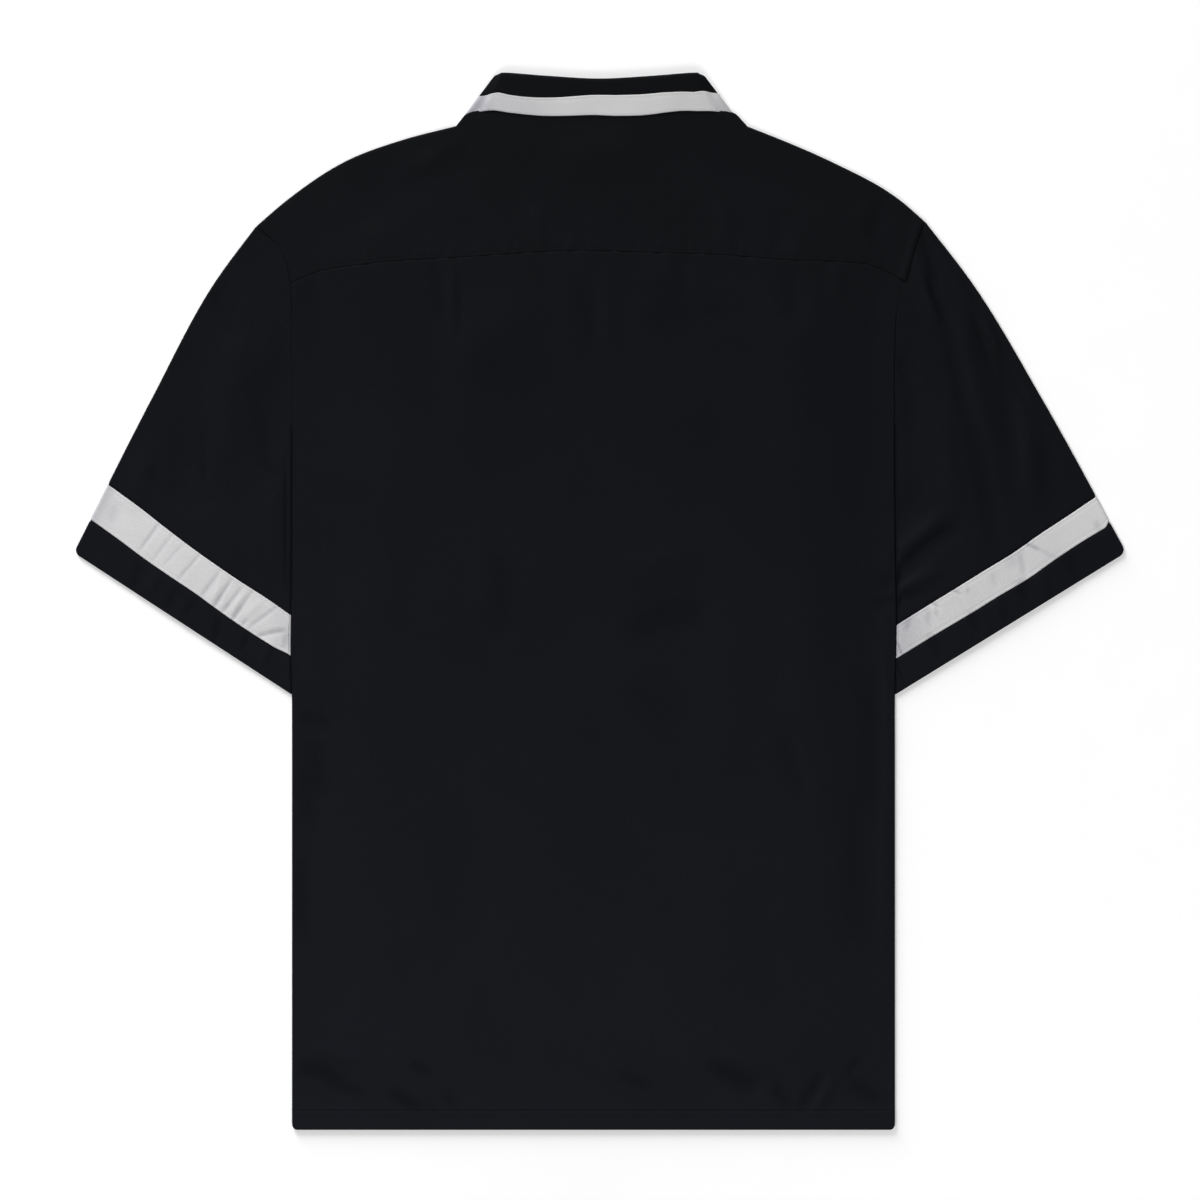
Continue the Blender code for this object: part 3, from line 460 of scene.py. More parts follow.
# %% [markdown]
# ## Thread
# Every seam of a shirt is closed with a lockstitch: a row of short stitches, each sunk a little into the
# cloth at its ends. A stitch here is a small spindle, and a seam is hundreds of them, copied along a line
# with whole arrays.

# %% A row of stitches along a line
THREAD, STITCH, PITCH = 0.5, 2.3, 3  # its thickness, its length and from one to the next: a little coarse
SPINDLE_RINGS = ((-0.7, 0.75), (0, 1), (0.7, 0.75))  # where along it, and how thick there
SPINDLE_SIDES = 5
seams = {}


def ring_faces(count, around):
    """Faces of a row of closed rings: quads between rings, and a fan at each end to two points listed last."""
    i = np.arange(around)
    j = (i + 1) % around
    ring = np.arange(count - 1)[:, None] * around
    quads = np.stack([ring + i, ring + j, ring + around + j, ring + around + i], axis=-1).reshape(-1, 4)
    tip, last = np.full(around, count * around), (count - 1) * around
    fans = np.vstack([np.stack([tip, j, i], axis=1), np.stack([tip + 1, last + i, last + j], axis=1)])
    return quads, fans


def spindle():
    """Points of a spindle along X: rings of a circle carried along it, and then the point at each end."""
    angle = np.arange(SPINDLE_SIDES) * math.tau / SPINDLE_SIDES
    rings = [np.stack([np.full(SPINDLE_SIDES, x), r * np.cos(angle), r * np.sin(angle)], axis=1)
             for x, r in SPINDLE_RINGS]
    return np.vstack([*rings, [(-1, 0, 0), (1, 0, 0)]])


def lay(seam, middle, along, out, long=STITCH, thick=THREAD):
    """Adds spindles at these points, so long and so thick, turned along the seam and to the cloth's normal."""
    side = unit(np.cross(out, along))
    out = np.cross(along, side)
    points = spindle()
    placed = (middle[:, None] + along[:, None] * points[None, :, :1] * long / 2
              + (side[:, None] * points[None, :, 1:2] + out[:, None] * points[None, :, 2:]) * thick / 2)
    seams.setdefault(seam, []).append(placed.reshape(-1, 3))


def stitch(seam, line, normal, sink=0):
    """Adds a row of stitches along a line on the cloth, on the side its normals point to."""
    long = lengths(line)[-1]
    at = np.arange(PITCH / 2, long - PITCH / 2, PITCH)
    if len(at) < 2:
        return
    along = unit(at_lengths(line, np.minimum(at + 0.5, long)) - at_lengths(line, np.maximum(at - 0.5, 0)))
    out = np.stack([np.interp(at, lengths(line), normal[:, i]) for i in range(3)], axis=1)
    lay(seam, at_lengths(line, at) + out * (HALF - sink), along, out)


def sew(name, finish):
    """Makes one piece of all the stitches that were added to a seam."""
    placed, size = np.vstack(seams[name]), len(spindle())
    starts = np.arange(len(placed) // size)[:, None, None] * size
    quads, fans = ring_faces(len(SPINDLE_RINGS), SPINDLE_SIDES)
    faces = (starts + quads).reshape(-1, 4).tolist() + (starts + fans).reshape(-1, 3).tolist()
    new_piece(name, placed, faces, finish)
    print(name, len(starts), "stitches")


# %% [markdown]
# ## Materials
# The shirt is a polyester and cotton shirting, woven in a fine twill and dyed black in the piece. Pressed,
# it is matt with a faint bloom at low angles, and it never gets as dark as a hole. The bands are a closer
# satin weave, off-white and a little smoother. Both weaves are bump, because a thread is far smaller than a
# crease.

# %% Helpers for node materials
def linear(hex_colour):
    """An sRGB colour, written as in a paint program, as linear light with alpha."""
    parts = [int(hex_colour[i:i + 2], 16) / 255 for i in (1, 3, 5)]
    return (*[c / 12.92 if c <= 0.04045 else ((c + 0.055) / 1.055) ** 2.4 for c in parts], 1)


def connect(made, node, links):
    """Links sockets to the inputs of a node, as (input, socket) pairs."""
    for key, socket in links:
        made.node_tree.links.new(socket, node.inputs[key])


def add(made, kind, links=(), **settings):
    """Adds a node to a material or a world. Settings are its own properties, or else its inputs."""
    node = made.node_tree.nodes.new("ShaderNode" + kind)
    for key, value in settings.items():
        if hasattr(node, key):
            setattr(node, key, value)
        else:
            node.inputs[key.replace("_", " ")].default_value = value
    connect(made, node, links)
    return node


def new_material(name, **looks):
    """A node material with a shader of these looks on its output."""
    made = bpy.data.materials.new(name)
    made.use_nodes = True
    made.node_tree.nodes.clear()
    shader = add(made, "BsdfPrincipled", **looks)
    add(made, "OutputMaterial", [("Surface", shader.outputs[0])])
    return made, shader


def wave_scale(period):
    """The scale at which a straight band of the Wave texture repeats every so many millimetres."""
    return math.tau / (20 * period * MM)


def woven(made, shader, dark, light, painted_shade_colour, thread, twill, lumps, depth, painted_sheen_share):
    """Weave on the cloth's own UV: warp, weft and twill lines, all as bump. The colour goes from dark to light
    with slow lumps and slubs, and, by the share given last, it is painted paler from the yoke down to the hem: a
    painted sheen. In the troughs and other shaded places, which the mesh carries as the attribute "deep", it
    goes to a darker colour: painted shade."""
    where = add(made, "TexCoord")
    uv, place = where.outputs["UV"], where.outputs["Object"]
    warp = add(made, "TexWave", [("Vector", uv)], bands_direction="X", Scale=wave_scale(thread))
    weft = add(made, "TexWave", [("Vector", uv)], bands_direction="Y", Scale=wave_scale(thread * 1.15))
    lines = add(made, "TexWave", [("Vector", uv)], bands_direction="DIAGONAL", Scale=wave_scale(twill) * 1.4)
    slub = add(made, "TexNoise", [("Vector", uv)], Scale=900, Detail=3)
    threads = add(made, "Math", [(0, warp.outputs["Fac"]), (1, weft.outputs["Fac"])], operation="MULTIPLY")
    both = add(made, "Math", [(0, threads.outputs[0]), (1, lines.outputs["Fac"])], operation="ADD")
    uneven = add(made, "Math", [(0, both.outputs[0]), (1, slub.outputs["Fac"])], operation="ADD")
    bump = add(made, "Bump", [("Height", uneven.outputs[0])], Strength=depth, Distance=0.0002)
    wide = add(made, "TexNoise", [("Vector", place)], Scale=lumps, Detail=3, Roughness=0.5)
    cloudy = add(made, "Math", [(0, wide.outputs["Fac"]), (1, slub.outputs["Fac"])], operation="ADD")
    lumpy = add(made, "MapRange", [("Value", cloudy.outputs[0])], From_Min=0.6, From_Max=1.4)
    # painted sheen: paler from the yoke down to the hem, by Y in the object
    parts = add(made, "SeparateXYZ", [("Vector", place)])
    down = add(made, "MapRange", [("Value", parts.outputs["Y"])], From_Min=0.34, From_Max=-0.38)
    tone = add(made, "Mix", [("A", lumpy.outputs[0]), ("B", down.outputs[0])], Factor=painted_sheen_share)
    colour = add(made, "Mix", [("Factor", tone.outputs["Result"])], data_type="RGBA",
                 A=linear(dark), B=linear(light))
    # painted shade: the troughs and shaded places go to the darker colour
    deep = add(made, "Attribute", attribute_name="deep")
    shaded = add(made, "Mix", [("Factor", deep.outputs["Fac"]), ("A", colour.outputs["Result"])],
                 data_type="RGBA", B=linear(painted_shade_colour))
    connect(made, shader, [("Base Color", shaded.outputs["Result"]), ("Normal", bump.outputs["Normal"])])


# %% Black shirting: matt, with a faint bloom, and painted a little paler and bluer from the yoke down to the hem, a painted sheen
black = new_material("black_shirting", Roughness=0.6, Specular_IOR_Level=0.03)
# its threads are drawn twice as coarse as the real ones, which would be too fine to show
# the third colour is painted shade for the troughs, and the last share is a painted sheen towards the hem
woven(*black, "#0a0b0d", "#15161b", "#0c0d10", thread=0.7, twill=1.4, lumps=14, depth=0.35, painted_sheen_share=0.75)

# %% Off-white satin for the bands: smooth, with a low soft shine
off_white = new_material("off_white_band", Roughness=0.55, Specular_IOR_Level=0.12)
# the third colour is painted shade for the troughs and the band's shaded places
woven(*off_white, "#d0cfcf", "#d7d6d7", "#a2a1a8", thread=0.6, twill=1.2, lumps=40, depth=0.25, painted_sheen_share=0)

# %% Thread in both colours, spun polyester, and the resin of the buttons, polished
for name, shade_of, rough in (("black_thread", "#0a0b0d", 0.7), ("off_white_thread", "#cfcdcc", 0.6)):
    made, shader = new_material(name, Base_Color=linear(shade_of), Roughness=rough, Specular_IOR_Level=0.05)
    where = add(made, "TexCoord")
    plies = add(made, "TexNoise", [("Vector", where.outputs["Object"])], Scale=2500, Detail=2)
    bump = add(made, "Bump", [("Height", plies.outputs["Fac"])], Strength=0.5, Distance=0.0001)
    connect(made, shader, [("Normal", bump.outputs["Normal"])])

made, shader = new_material("button_resin", Roughness=0.28, Specular_IOR_Level=0.5)
where = add(made, "TexCoord")
cloud = add(made, "TexNoise", [("Vector", where.outputs["Object"])], Scale=260, Detail=3, Distortion=1.5)
swirl = add(made, "Mix", [("Factor", cloud.outputs["Fac"])], data_type="RGBA",
            A=linear("#0a0a0b"), B=linear("#222225"))
connect(made, shader, [("Base Color", swirl.outputs["Result"])])

# %% [markdown]
# ## The body's edges
# A side seam lets the upper and lower layers roll over and meet halfway down. Higher up, at the armhole,
# the body's edge lies over the sleeve: the sleeve starts a few millimetres under it, and that lap hides the
# raw edges.

# %% The armholes and the sides
UNDERLAP = 4  # how far a piece goes on under the one that is sewn over it
SINK = CLOTH + 0.05  # how far down it is there
SEAM_GAP = 0.15  # between the edges of two pieces
LAP_FADE = (1.5, -0.1)  # from the seam: where it starts to sink, and where it is down
EDGE_ROWS = np.array([0, 0.12, 0.35, 0.7, 1.1])  # rows close to an edge that turns over or is folded


def armhole_line(side):
    """The armhole from the shoulder's fold down to the armpit, and the side below it to past the hem."""
    y = np.linspace(ARMPIT - 2, HEM - 50, 300)
    marks = np.array(UNDERARMS[side])
    stands_out = hermite(marks[:, 1:], marks[:, 0], np.clip(y, marks[0, 0], marks[-1, 0]))[:, 0]
    x = SIDES[side] + OUTWARD[side] * stands_out
    return np.vstack([curve(ARMHOLES[side], 400), np.stack([x, y], axis=1)])


def edge_x(side, y):
    """The X of the armhole and the side at this Y."""
    line = armhole_line(side)[::-1]
    return np.interp(y, line[:, 1], line[:, 0])


def in_sleeve(y):
    """1 where the sleeve slips under the body, along the armhole, and 0 below the armpit."""
    return fade(y - ARMPIT, *OPEN_Y)


def clearance(slip):
    """How far a piece keeps from the line it is sewn to: a hair at the armhole, half the cloth at the side."""
    return SEAM_GAP + (HALF - SEAM_GAP - 0.02) * (1 - slip)


def body_edge(side, y):
    """Points of the body's edge at these heights up the shirt: on the armhole, and just inside the side seam."""
    return np.stack([edge_x(side, y) - OUTWARD[side] * clearance(in_sleeve(y)), y], axis=-1)


def seam_y(x):
    """The Y of the yoke's seam at this X."""
    line = curve(YOKE_SEAM, 200)
    return np.interp(x, line[:, 0], line[:, 1])


print("the yoke's seam is", round(seam_y(0) - HEM, 1), "mm above the hem")

# %% [markdown]
# ## The back
# One panel from the hem to the yoke. Its hem is folded twice and stitched, so its lowest 15 mm are thicker
# and pucker a little along the stitches. Its top goes on under the yoke.

# %% The back panel
BACK_ROWS, BACK_COLUMNS = 205, 148  # of its grid, between the close ones at its edges
HEM_DEPTH = 15.5
HEM_ROW = HEM_DEPTH - 1.4  # of its stitches, which lie in a groove
HEM_CORNER = (3.2, 4.5)  # how far a corner steps in, and how far up it starts to


def hem_form(x, up):
    """The hem's extra height: two more layers below the stitches, a groove along them and uneven gathers."""
    thicker = 0.55 * fade(up, HEM_DEPTH + 1, HEM_DEPTH - 0.4)
    groove = -0.4 * bell(up, HEM_ROW, 0.9) - 0.15 * bell(up, 8.5, 0.9)
    gathers = puckers(x + 0.55 * up, abs(up - HEM_DEPTH), spacing=11, reach=13, height=0.42, seed=2)
    gathers = gathers * (0.55 + 0.45 * np.sin(x / 31 + 0.9) * np.sin(x / 17))
    return thicker + groove + gathers - 0.35 * round_edge(up, 1)


def roll(away, y, radius, reach):
    """How far a panel has come towards the other layer, where it rolls over at a side."""
    return rolled(y) * round_edge(away, radius) * reach


def back_panel():
    """Straight columns from the hem to under the yoke, close together where the cloth rolls over the sides."""
    radius = (EDGE_HEIGHT - TABLE) / 2
    top_left, top_right = YOKE_SEAM[0][1] + UNDERLAP, YOKE_SEAM[-1][1] + UNDERLAP
    tall = top_left - HEM
    # rows lie close together at the folds and grooves of the hem and at the yoke's seam
    near_hem = np.array([0, 0.3, 0.8, 1.5, 3, 5, 7, 8, 8.6, 9.2, 10.5, 12, 13, 13.6, 14.1, 14.6, 15.1, 15.6,
                         16.2, 17, 18.5, 20.5])
    near_yoke = tall - UNDERLAP - np.array([6, 4.5, 3.4, 2.6, 2, 1.5, 1, 0.5, 0, -1.5, -UNDERLAP])
    up = np.concatenate([near_hem, np.linspace(23.5, near_yoke[0] - 3, BACK_ROWS), near_yoke]) / tall
    left = body_edge("left", HEM + up * tall)
    right = body_edge("right", HEM + up * (top_right - HEM))
    corner = HEM_CORNER[0] * round_edge(up * tall, HEM_CORNER[1])
    left[:, 0] += corner
    right[:, 0] -= corner
    close = quarter(radius, 7)
    wide = right[len(right) // 2, 0] - left[len(left) // 2, 0]
    between = np.linspace(radius + 1.5, wide - radius - 1.5, BACK_COLUMNS)
    share = np.concatenate([close, between, wide - close[::-1]]) / wide
    top = curve(YOKE_SEAM, share) + (0, UNDERLAP)
    top[0], top[-1] = left[-1], right[-1]
    hem = left[0] + share[:, None] * (right[0] - left[0])
    plan = patch(hem, top, left, right, share, up)
    x, y = plan[..., 0], plan[..., 1]
    below_seam = seam_y(x) - y
    beside = np.minimum(x - plan[:, :1, 0], plan[:, -1:, 0] - x)
    # creases end where the cloth rolls over, and above the hem
    held = 1 - rolled(y) * fade(beside, 8, 0.5)
    creased = pressed(relief(x, y), room=3) * held * fade(y - HEM, -6, 24)
    gathers = puckers(x + 0.2 * y, abs(below_seam), spacing=9, reach=22, height=0.3, seed=5)
    height = upper_height(x, y) + creased + hem_form(x, y - HEM) + gathers - SINK * fade(below_seam, *LAP_FADE)
    for edge in (plan[:, :1], plan[:, -1:]):
        away = np.linalg.norm(plan - edge, axis=-1)
        height = height - roll(away, y, radius, radius - HALF)
        height = height - 0.3 * in_sleeve(y) * round_edge(away, 1.4)
    return with_height(plan, height)


back_grid = back_panel()
cloth("back_panel", back_grid, "black_shirting", "back")

# %% Stitches of the hem
def row_at(grid, distance):
    """The row of a grid whose middle point is this far from its first row, and the cloth's normal along it."""
    along = lengths(grid[:, grid.shape[1] // 2])
    row = np.argmin(abs(along - distance))
    return grid[row], grid_normals(grid)[row]


line, normal = row_at(back_grid, HEM_ROW)
stitch("hem_stitches", line[8:-8], normal[8:-8])

# %% [markdown]
# ## The yoke
# A yoke is a double layer across the shoulders. It turns over the shoulder's fold to a seam 25 mm down the
# front. Its lower edge is folded under and stitched over the back, which gives a small step with a groove
# beside it.

# %% The collar's table as a smooth line
def collar_line(places):
    """The collar's table read along a smooth line, where 0 is its first row, 1 its second, and so on."""
    moves = np.sqrt(np.linalg.norm(np.diff(COLLAR[:, :6], axis=0), axis=1))
    at = np.concatenate([[0], np.cumsum(moves)])
    slope = np.gradient(COLLAR, at, axis=0)
    slope[0, 0:6:2] = (COLLAR[1, 0:6:2] - COLLAR[0, 0:6:2]) / moves[0]
    slope[0, 1:6:2] = 0  # it crosses the middle of the nape square
    return hermite(COLLAR, at, np.interp(places, range(len(COLLAR)), at), slope)


def even_places(first, last, step):
    """Places of that table about a step apart, by the mean length of its seam, roll and edge."""
    fine = np.linspace(first, last, 600)
    table = collar_line(fine)
    along = sum(lengths(table[:, i:i + 2]) for i in (0, 2, 4)) / 3
    return np.interp(np.linspace(0, along[-1], round(along[-1] / step) + 1), along, fine)


def outside(line, distance):
    """A line round the neck moved away from it, by a distance."""
    along = unit(np.gradient(line, axis=0))
    return line + np.asarray(distance) * np.stack([along[:, 1], -along[:, 0]], axis=1)


# %% The yoke in plan
SHOULDER_STEPS = 52


def yoke_plan():
    """Columns from the yoke's seam to the shoulder's fold or to the neck, as 400 points each."""
    left, right = curve(SHOULDERS["left"], SHOULDER_STEPS), curve(SHOULDERS["right"], SHOULDER_STEPS)[::-1]
    half = 1 - (1 - np.linspace(0, 1, SHOULDER_STEPS)) ** 0.8  # the neck takes as many, closer at its middle
    neck_left, neck_right = curve(NECKLINE["left"], half)[1:], curve(NECKLINE["right"], half)[1:-1][::-1]
    top = np.vstack([left, neck_left, neck_right, right])
    share = (top[:, 0] - top[0, 0]) / (top[-1, 0] - top[0, 0])
    bottom = curve(YOKE_SEAM, share)
    up = np.linspace(0, 1, 400)
    sides = []
    for side in ("left", "right"):
        line = curve(ARMHOLES[side], 400)
        line = line[line[:, 1] > YOKE_SEAM[0 if side == "left" else -1][1]][::-1]
        line = line - (OUTWARD[side] * SEAM_GAP, 0)
        sides.append(at_lengths(line, up * lengths(line)[-1]))
    bottom[0], bottom[-1], top[0], top[-1] = sides[0][0], sides[1][0], sides[0][-1], sides[1][-1]
    return patch(bottom, top, sides[0], sides[1], share, up)


def from_top(column, distances):
    """Points of one column of the yoke, at these distances back from its top."""
    return at_lengths(column[::-1], distances)


# %% The yoke itself: columns that run up from the seam, over the fold and down to the front
YOKE_EDGE = np.array([0, 0.15, 0.4, 0.8, 1.3, 1.8, 2.2, 2.7, 3.4, 4.5, 6])
ARC = quarter(1, 9)[::-1]  # from one radius away to the fold
YOKE_ROWS = 34  # between the two
NOWHERE = 99  # so far from the seam that nothing of it shows


def yoke_panel():
    """The grid, and which of its faces are cloth: at the neck a column ends, at the shoulder it turns over."""
    plan = yoke_plan()
    last = plan.shape[1] - 1
    columns, seam_away, on_top = [], [], []
    for i in range(last + 1):
        column = plan[:, i]
        folds = i < SHOULDER_STEPS or i > last - SHOULDER_STEPS
        start = HALF if folds else 0
        edge = from_top(column, [start])[0]
        radius = (upper_height(*edge) - TABLE - outer_lift(*edge)) / 2
        tall = lengths(column)[-1]
        upper = np.concatenate([tall - YOKE_EDGE, np.linspace(tall - 8.5, start + radius + 2, YOKE_ROWS),
                                start + radius * ARC])
        lower = np.concatenate([start + radius * ARC[-2::-1], np.linspace(start + radius + 2, TURN_OVER, 9)])
        above, below = from_top(column, upper), from_top(column, lower)
        high = upper_height(above[:, 0], above[:, 1])
        low = TABLE + outer_lift(below[:, 0], below[:, 1])
        if folds:
            high = high - radius * round_edge(upper - start, radius)
            low = low + radius * round_edge(lower - start, radius)
        else:  # the edge at the neck is turned in, and rounds down
            high = high - 1.1 * round_edge(upper, 1.4)
        columns.append(np.vstack([with_height(above, high), with_height(below, low)]))
        seam_away.append(np.concatenate([tall - upper, np.full(len(lower), NOWHERE)]))
        on_top.append(np.concatenate([fade(upper - start, 0, 14), np.zeros(len(lower))]))
    grid, away, top = np.stack(columns, axis=1), np.stack(seam_away, axis=1), np.stack(on_top, axis=1)
    x, y = grid[..., 0], grid[..., 1]
    grid[..., 2] += pressed(relief(x, y), room=1.8) * top
    # the folded edge is a step with a groove along its stitches, and is flatter near the armholes
    ends_in = fade(x, -218, -190) * (1 - 0.8 * fade(x, 186, 206))
    grid[..., 2] += 0.06 - (0.2 * round_edge(away, 0.9) + 0.14 * bell(away, 2, 0.8)) * ends_in
    grid[..., 2] += puckers(x - 0.25 * y, away, spacing=9, reach=20, height=0.32, seed=3) * top
    # a ridge stands beside the right armhole, and both armholes round down
    beside = abs(x - grid[:, -1:, 0])
    grid[..., 2] += 1.3 * bell(beside, 3.1, 1.5) * fade(y, 226, 232) * top
    beside_left = abs(x - grid[:, :1, 0])
    grid[..., 2] -= 0.3 * round_edge(np.minimum(beside, beside_left), 1.4) * top
    keep = np.ones((grid.shape[0] - 1, last), bool)
    keep[len(YOKE_EDGE) + YOKE_ROWS + len(ARC) - 1:, SHOULDER_STEPS - 1:last - SHOULDER_STEPS + 1] = False
    return grid, keep


yoke_grid, yoke_keep = yoke_panel()
cloth("yoke_panel", yoke_grid, "black_shirting", "yoke", yoke_keep)
line, normal = row_at(yoke_grid, 2)
stitch("yoke_stitches", line[2:-2], normal[2:-2])

# %% [markdown]
# ## The fronts
# Each front runs from its side seam to past the middle. The left one, with the buttonholes, laps over the
# right one, so with the shirt face down it lies lowest. Both lift over the row of buttons and over the
# collar.

# %% The two front panels
def front_panel(side, lift):
    """Straight columns from the hem to the shoulder seam or the neckline, from the side to past the middle."""
    outward = OUTWARD[side]
    plan = yoke_plan()[:, ::int(-outward)][:, :SHOULDER_STEPS]
    lap = TURN_OVER - UNDERLAP
    seam = np.array([from_top(plan[:, i], [lap])[0] for i in range(0, SHOULDER_STEPS, 2)])
    neck = outside(collar_line(even_places(FRONT_STATION, 9, 3.5))[:, :2], -0.3) * (outward, 1)
    middle = [(-outward * x, neck[-1, 1]) for x in (-5, -1, 3, 7, 10, 12.5, 14, 14.7, OVERLAP)]
    radius = (EDGE_HEIGHT - TABLE) / 2
    close = quarter(radius, 6)
    y = np.concatenate([HEM + np.array([0, 0.3, 0.8, 1.5, 3, 6, 9, 12, 13.3, 14.1, 14.9, 15.7, 17, 20]),
                        np.linspace(HEM + 24, seam[0, 1] - 4, 150), seam[0, 1] + np.array([-2, -1, 0])])
    outer = body_edge(side, y)
    outer[:, 0] -= outward * HEM_CORNER[0] * round_edge(y - HEM, HEM_CORNER[1])
    seam[0] = outer[-1]
    top = np.vstack([at_lengths(seam, close), seam[1:], neck, middle])
    below_seam = (seam[1:, 0] - seam[0, 0]) / (seam[-1, 0] - seam[0, 0]) * (seam[-1, 0] - outer[0, 0])
    hem_x = np.concatenate([outer[0, 0] - outward * close, outer[0, 0] + below_seam, neck[:, 0],
                            [point[0] for point in middle]])
    hem = np.stack([hem_x, np.full_like(hem_x, HEM)], axis=1)
    across = (hem_x - hem_x[0]) / (hem_x[-1] - hem_x[0])
    up = (y - HEM) / (y[-1] - HEM)
    opening = hem[-1] + up[:, None] * (top[-1] - hem[-1])
    plan = patch(hem, top, outer, opening, across, up)
    x, y = plan[..., 0], plan[..., 1]
    height = TABLE + lift(x * outward, y)
    away = np.linalg.norm(plan - plan[:, :1], axis=-1)
    # creases lift the cloth only inside the panel, clear of its side, the buttons, the hem and the collar
    free = fade(away, 8, 40) * fade(abs(x), 24, 50) * fade(y, HEM + 4, HEM + 30) * fade(y, 235, 200)
    height = height + np.maximum(relief(x, y, UNDER_CREASES), 0) * free
    height = height + roll(away, y, radius, radius - HALF)
    below_top = np.maximum(plan[-1:, :, 1] - y, 0)
    lapped = fade(below_top, UNDERLAP + 2.6, UNDERLAP + 0.4) * (abs(x) > abs(seam[-1, 0]) + 1)
    # stitches press a groove along the front's edge and along the hem
    placket = abs(x + outward * OVERLAP)
    grooves = 0.25 * bell(placket, 3, 0.7) + 0.2 * bell(y - HEM, HEM_ROW, 0.8)
    return with_height(plan, height + SINK * lapped + grooves)


for side, lift in (("left", outer_lift), ("right", inner_lift)):
    under = front_panel(side, lift)[:, ::int(OUTWARD[side])]  # turned so that its faces point down
    cloth(f"front_panel_{side}", under, "black_shirting", f"front_{side}")
    normals = grid_normals(under)
    column = 3 if side == "left" else -4
    stitch("front_stitches", under[3:-3, column], normals[3:-3, column])
    stitch("front_stitches", under[9, 8:-8], normals[9, 8:-8])

# %% [markdown]
# ## The sleeves
# A sleeve is a tube pressed flat: its upper layer runs from the underarm to the outer fold, and its lower
# layer back. The black part ends under an off-white band, and the band's lower edge lies over a black strip
# at the hem. The three pieces of a tube share one rule for their form, and `sunk` says how deep inside the
# tube a piece lies.

# %% A flattened tube between two lines
def waver(side, plan):
    """Moves points along a sleeve: not at the hem, by WAVER at the band's two edges, and less and less above."""
    cut = SLEEVES[side]
    outer, inner = np.array(cut["outer"][-1]), np.array([SIDES[side], cut["inner_hem"]])
    long, along = np.linalg.norm(inner - outer), unit(inner - outer)
    up = np.array([along[1], -along[0]]) * OUTWARD[side]
    share, above = (plan - outer) @ along / long, (plan - outer) @ up
    strays = hermite(np.array(WAVER[side]), np.array(WAVER_PLACES), np.clip(share.ravel(), 0, 1))
    low, high = strays[:, 0].reshape(share.shape), strays[:, 1].reshape(share.shape)
    strip, band = min(cut["hem_strip"]), min(cut["band"])
    bent = cut["bent"] * np.clip(1 - share * long / 5, 0, 1) ** 2 * fade(above, band - 4, strip + 2)
    strays = low + (high - low) * fade(above, strip + 2, band - 2) + bent
    held = fade(above, 3, strip) * fade(above, band + 60, band + 4)
    return plan + (strays * held * fade(abs(plan[..., 0] - SIDES[side]), 1, 12))[..., None] * up


def tube(side, outer, inner, sunk, across):
    """Rows of a flattened tube, each straight in plan between a point of the fold and one of the armhole."""
    # a row starts under the body or clear of its side, and ends inside the fold by half the cloth
    slip, sunk = in_sleeve(inner[:, 1]), sunk[:, None]
    beside = inner[:, 0] + OUTWARD[side] * (clearance(slip) - UNDERLAP * slip)
    inner, slip = np.stack([beside, inner[:, 1]], axis=1), slip[:, None]
    wide = np.linalg.norm(inner - outer, axis=1)[:, None]
    outer = outer + (inner - outer) * (HALF + sunk) / wide
    wide = np.linalg.norm(inner - outer, axis=1)[:, None]
    # the upper layer comes down from the shoulder, and the lower one stays out of the table
    cap = curve(SLEEVES[side]["outer"], [0, 0.5])
    down = fade(outer[:, 1], cap[0, 1], cap[1, 1])[:, None]
    top = EDGE_HEIGHT + (SLEEVE_HEIGHT - EDGE_HEIGHT) * down - sunk
    low = np.maximum(TABLE + sunk, HALF + 0.06)
    radius = (top - low) / 2
    # points lie close together at the lap and at the fold, which is a half circle
    close = quarter(radius, 6)
    near_seam = slip * UNDERLAP + np.array([-0.1, 0.3, 0.7, 1.1, 1.5, 2.4])
    steps_in = np.concatenate([close[:, :-1], np.maximum(near_seam, radius)], axis=1)
    start = near_seam[:, -1:] + 1.5
    middle = start + (wide - radius - 1.5 - near_seam[:, -1:]) * np.linspace(0, 1, across)
    steps_all = np.sort(np.concatenate([steps_in, middle[:, :-1], wide - close[:, ::-1]], axis=1), axis=1)
    plan = waver(side, inner[:, None] + (outer - inner)[:, None] * (steps_all / wide)[..., None])
    x, y = plan[..., 0], plan[..., 1]
    # both layers from their heights, with some air, the half circle, the lap and the creases
    from_fold = wide - steps_all
    loft = down * SLEEVE_LOFT * np.sin(np.pi * steps_all / wide) ** 2
    loft = loft * fade(from_fold, 0, SLEEVE_LOFT_WIDTH) * fade(steps_all, 0, SLEEVE_LOFT_WIDTH)
    turned_in = radius * round_edge(from_fold, radius)
    turned_in = turned_in + (1 - slip) * round_edge(steps_all, radius) * (radius - HALF - 0.02)
    lapped = slip * fade(steps_all - UNDERLAP * slip, *LAP_FADE)
    free = fade(from_fold, 0.5, 9) * (1 - 0.5 * np.clip(sunk, 0, 1))
    folds = pressed(relief(x, y), room=1.6) * free * fade(steps_all, 0, 4)
    upper = top + loft + folds - turned_in - lapped * np.maximum(SINK - (EDGE_HEIGHT - top), 0)
    under = low + np.maximum(relief(x, y, UNDER_CREASES), 0) * free + turned_in + SINK * lapped
    both = np.concatenate([with_height(plan, upper), with_height(plan, under)[:, -2::-1]], axis=1)
    return both[:, ::int(OUTWARD[side])]  # turned so that its faces point out of the tube


def sleeve_lines(side):
    """The outer fold and the underarm of a sleeve as fine lines, from its head to its hem."""
    cut = SLEEVES[side]
    line = armhole_line(side)
    head = np.argmin(np.linalg.norm(line - ARMHOLES[side][1], axis=1))  # the armhole's second knot
    inner = line[head:]
    end = (edge_x(side, cut["inner_hem"]), cut["inner_hem"])
    return curve(cut["outer"], 600), np.vstack([inner[inner[:, 1] > cut["inner_hem"]], [end]])


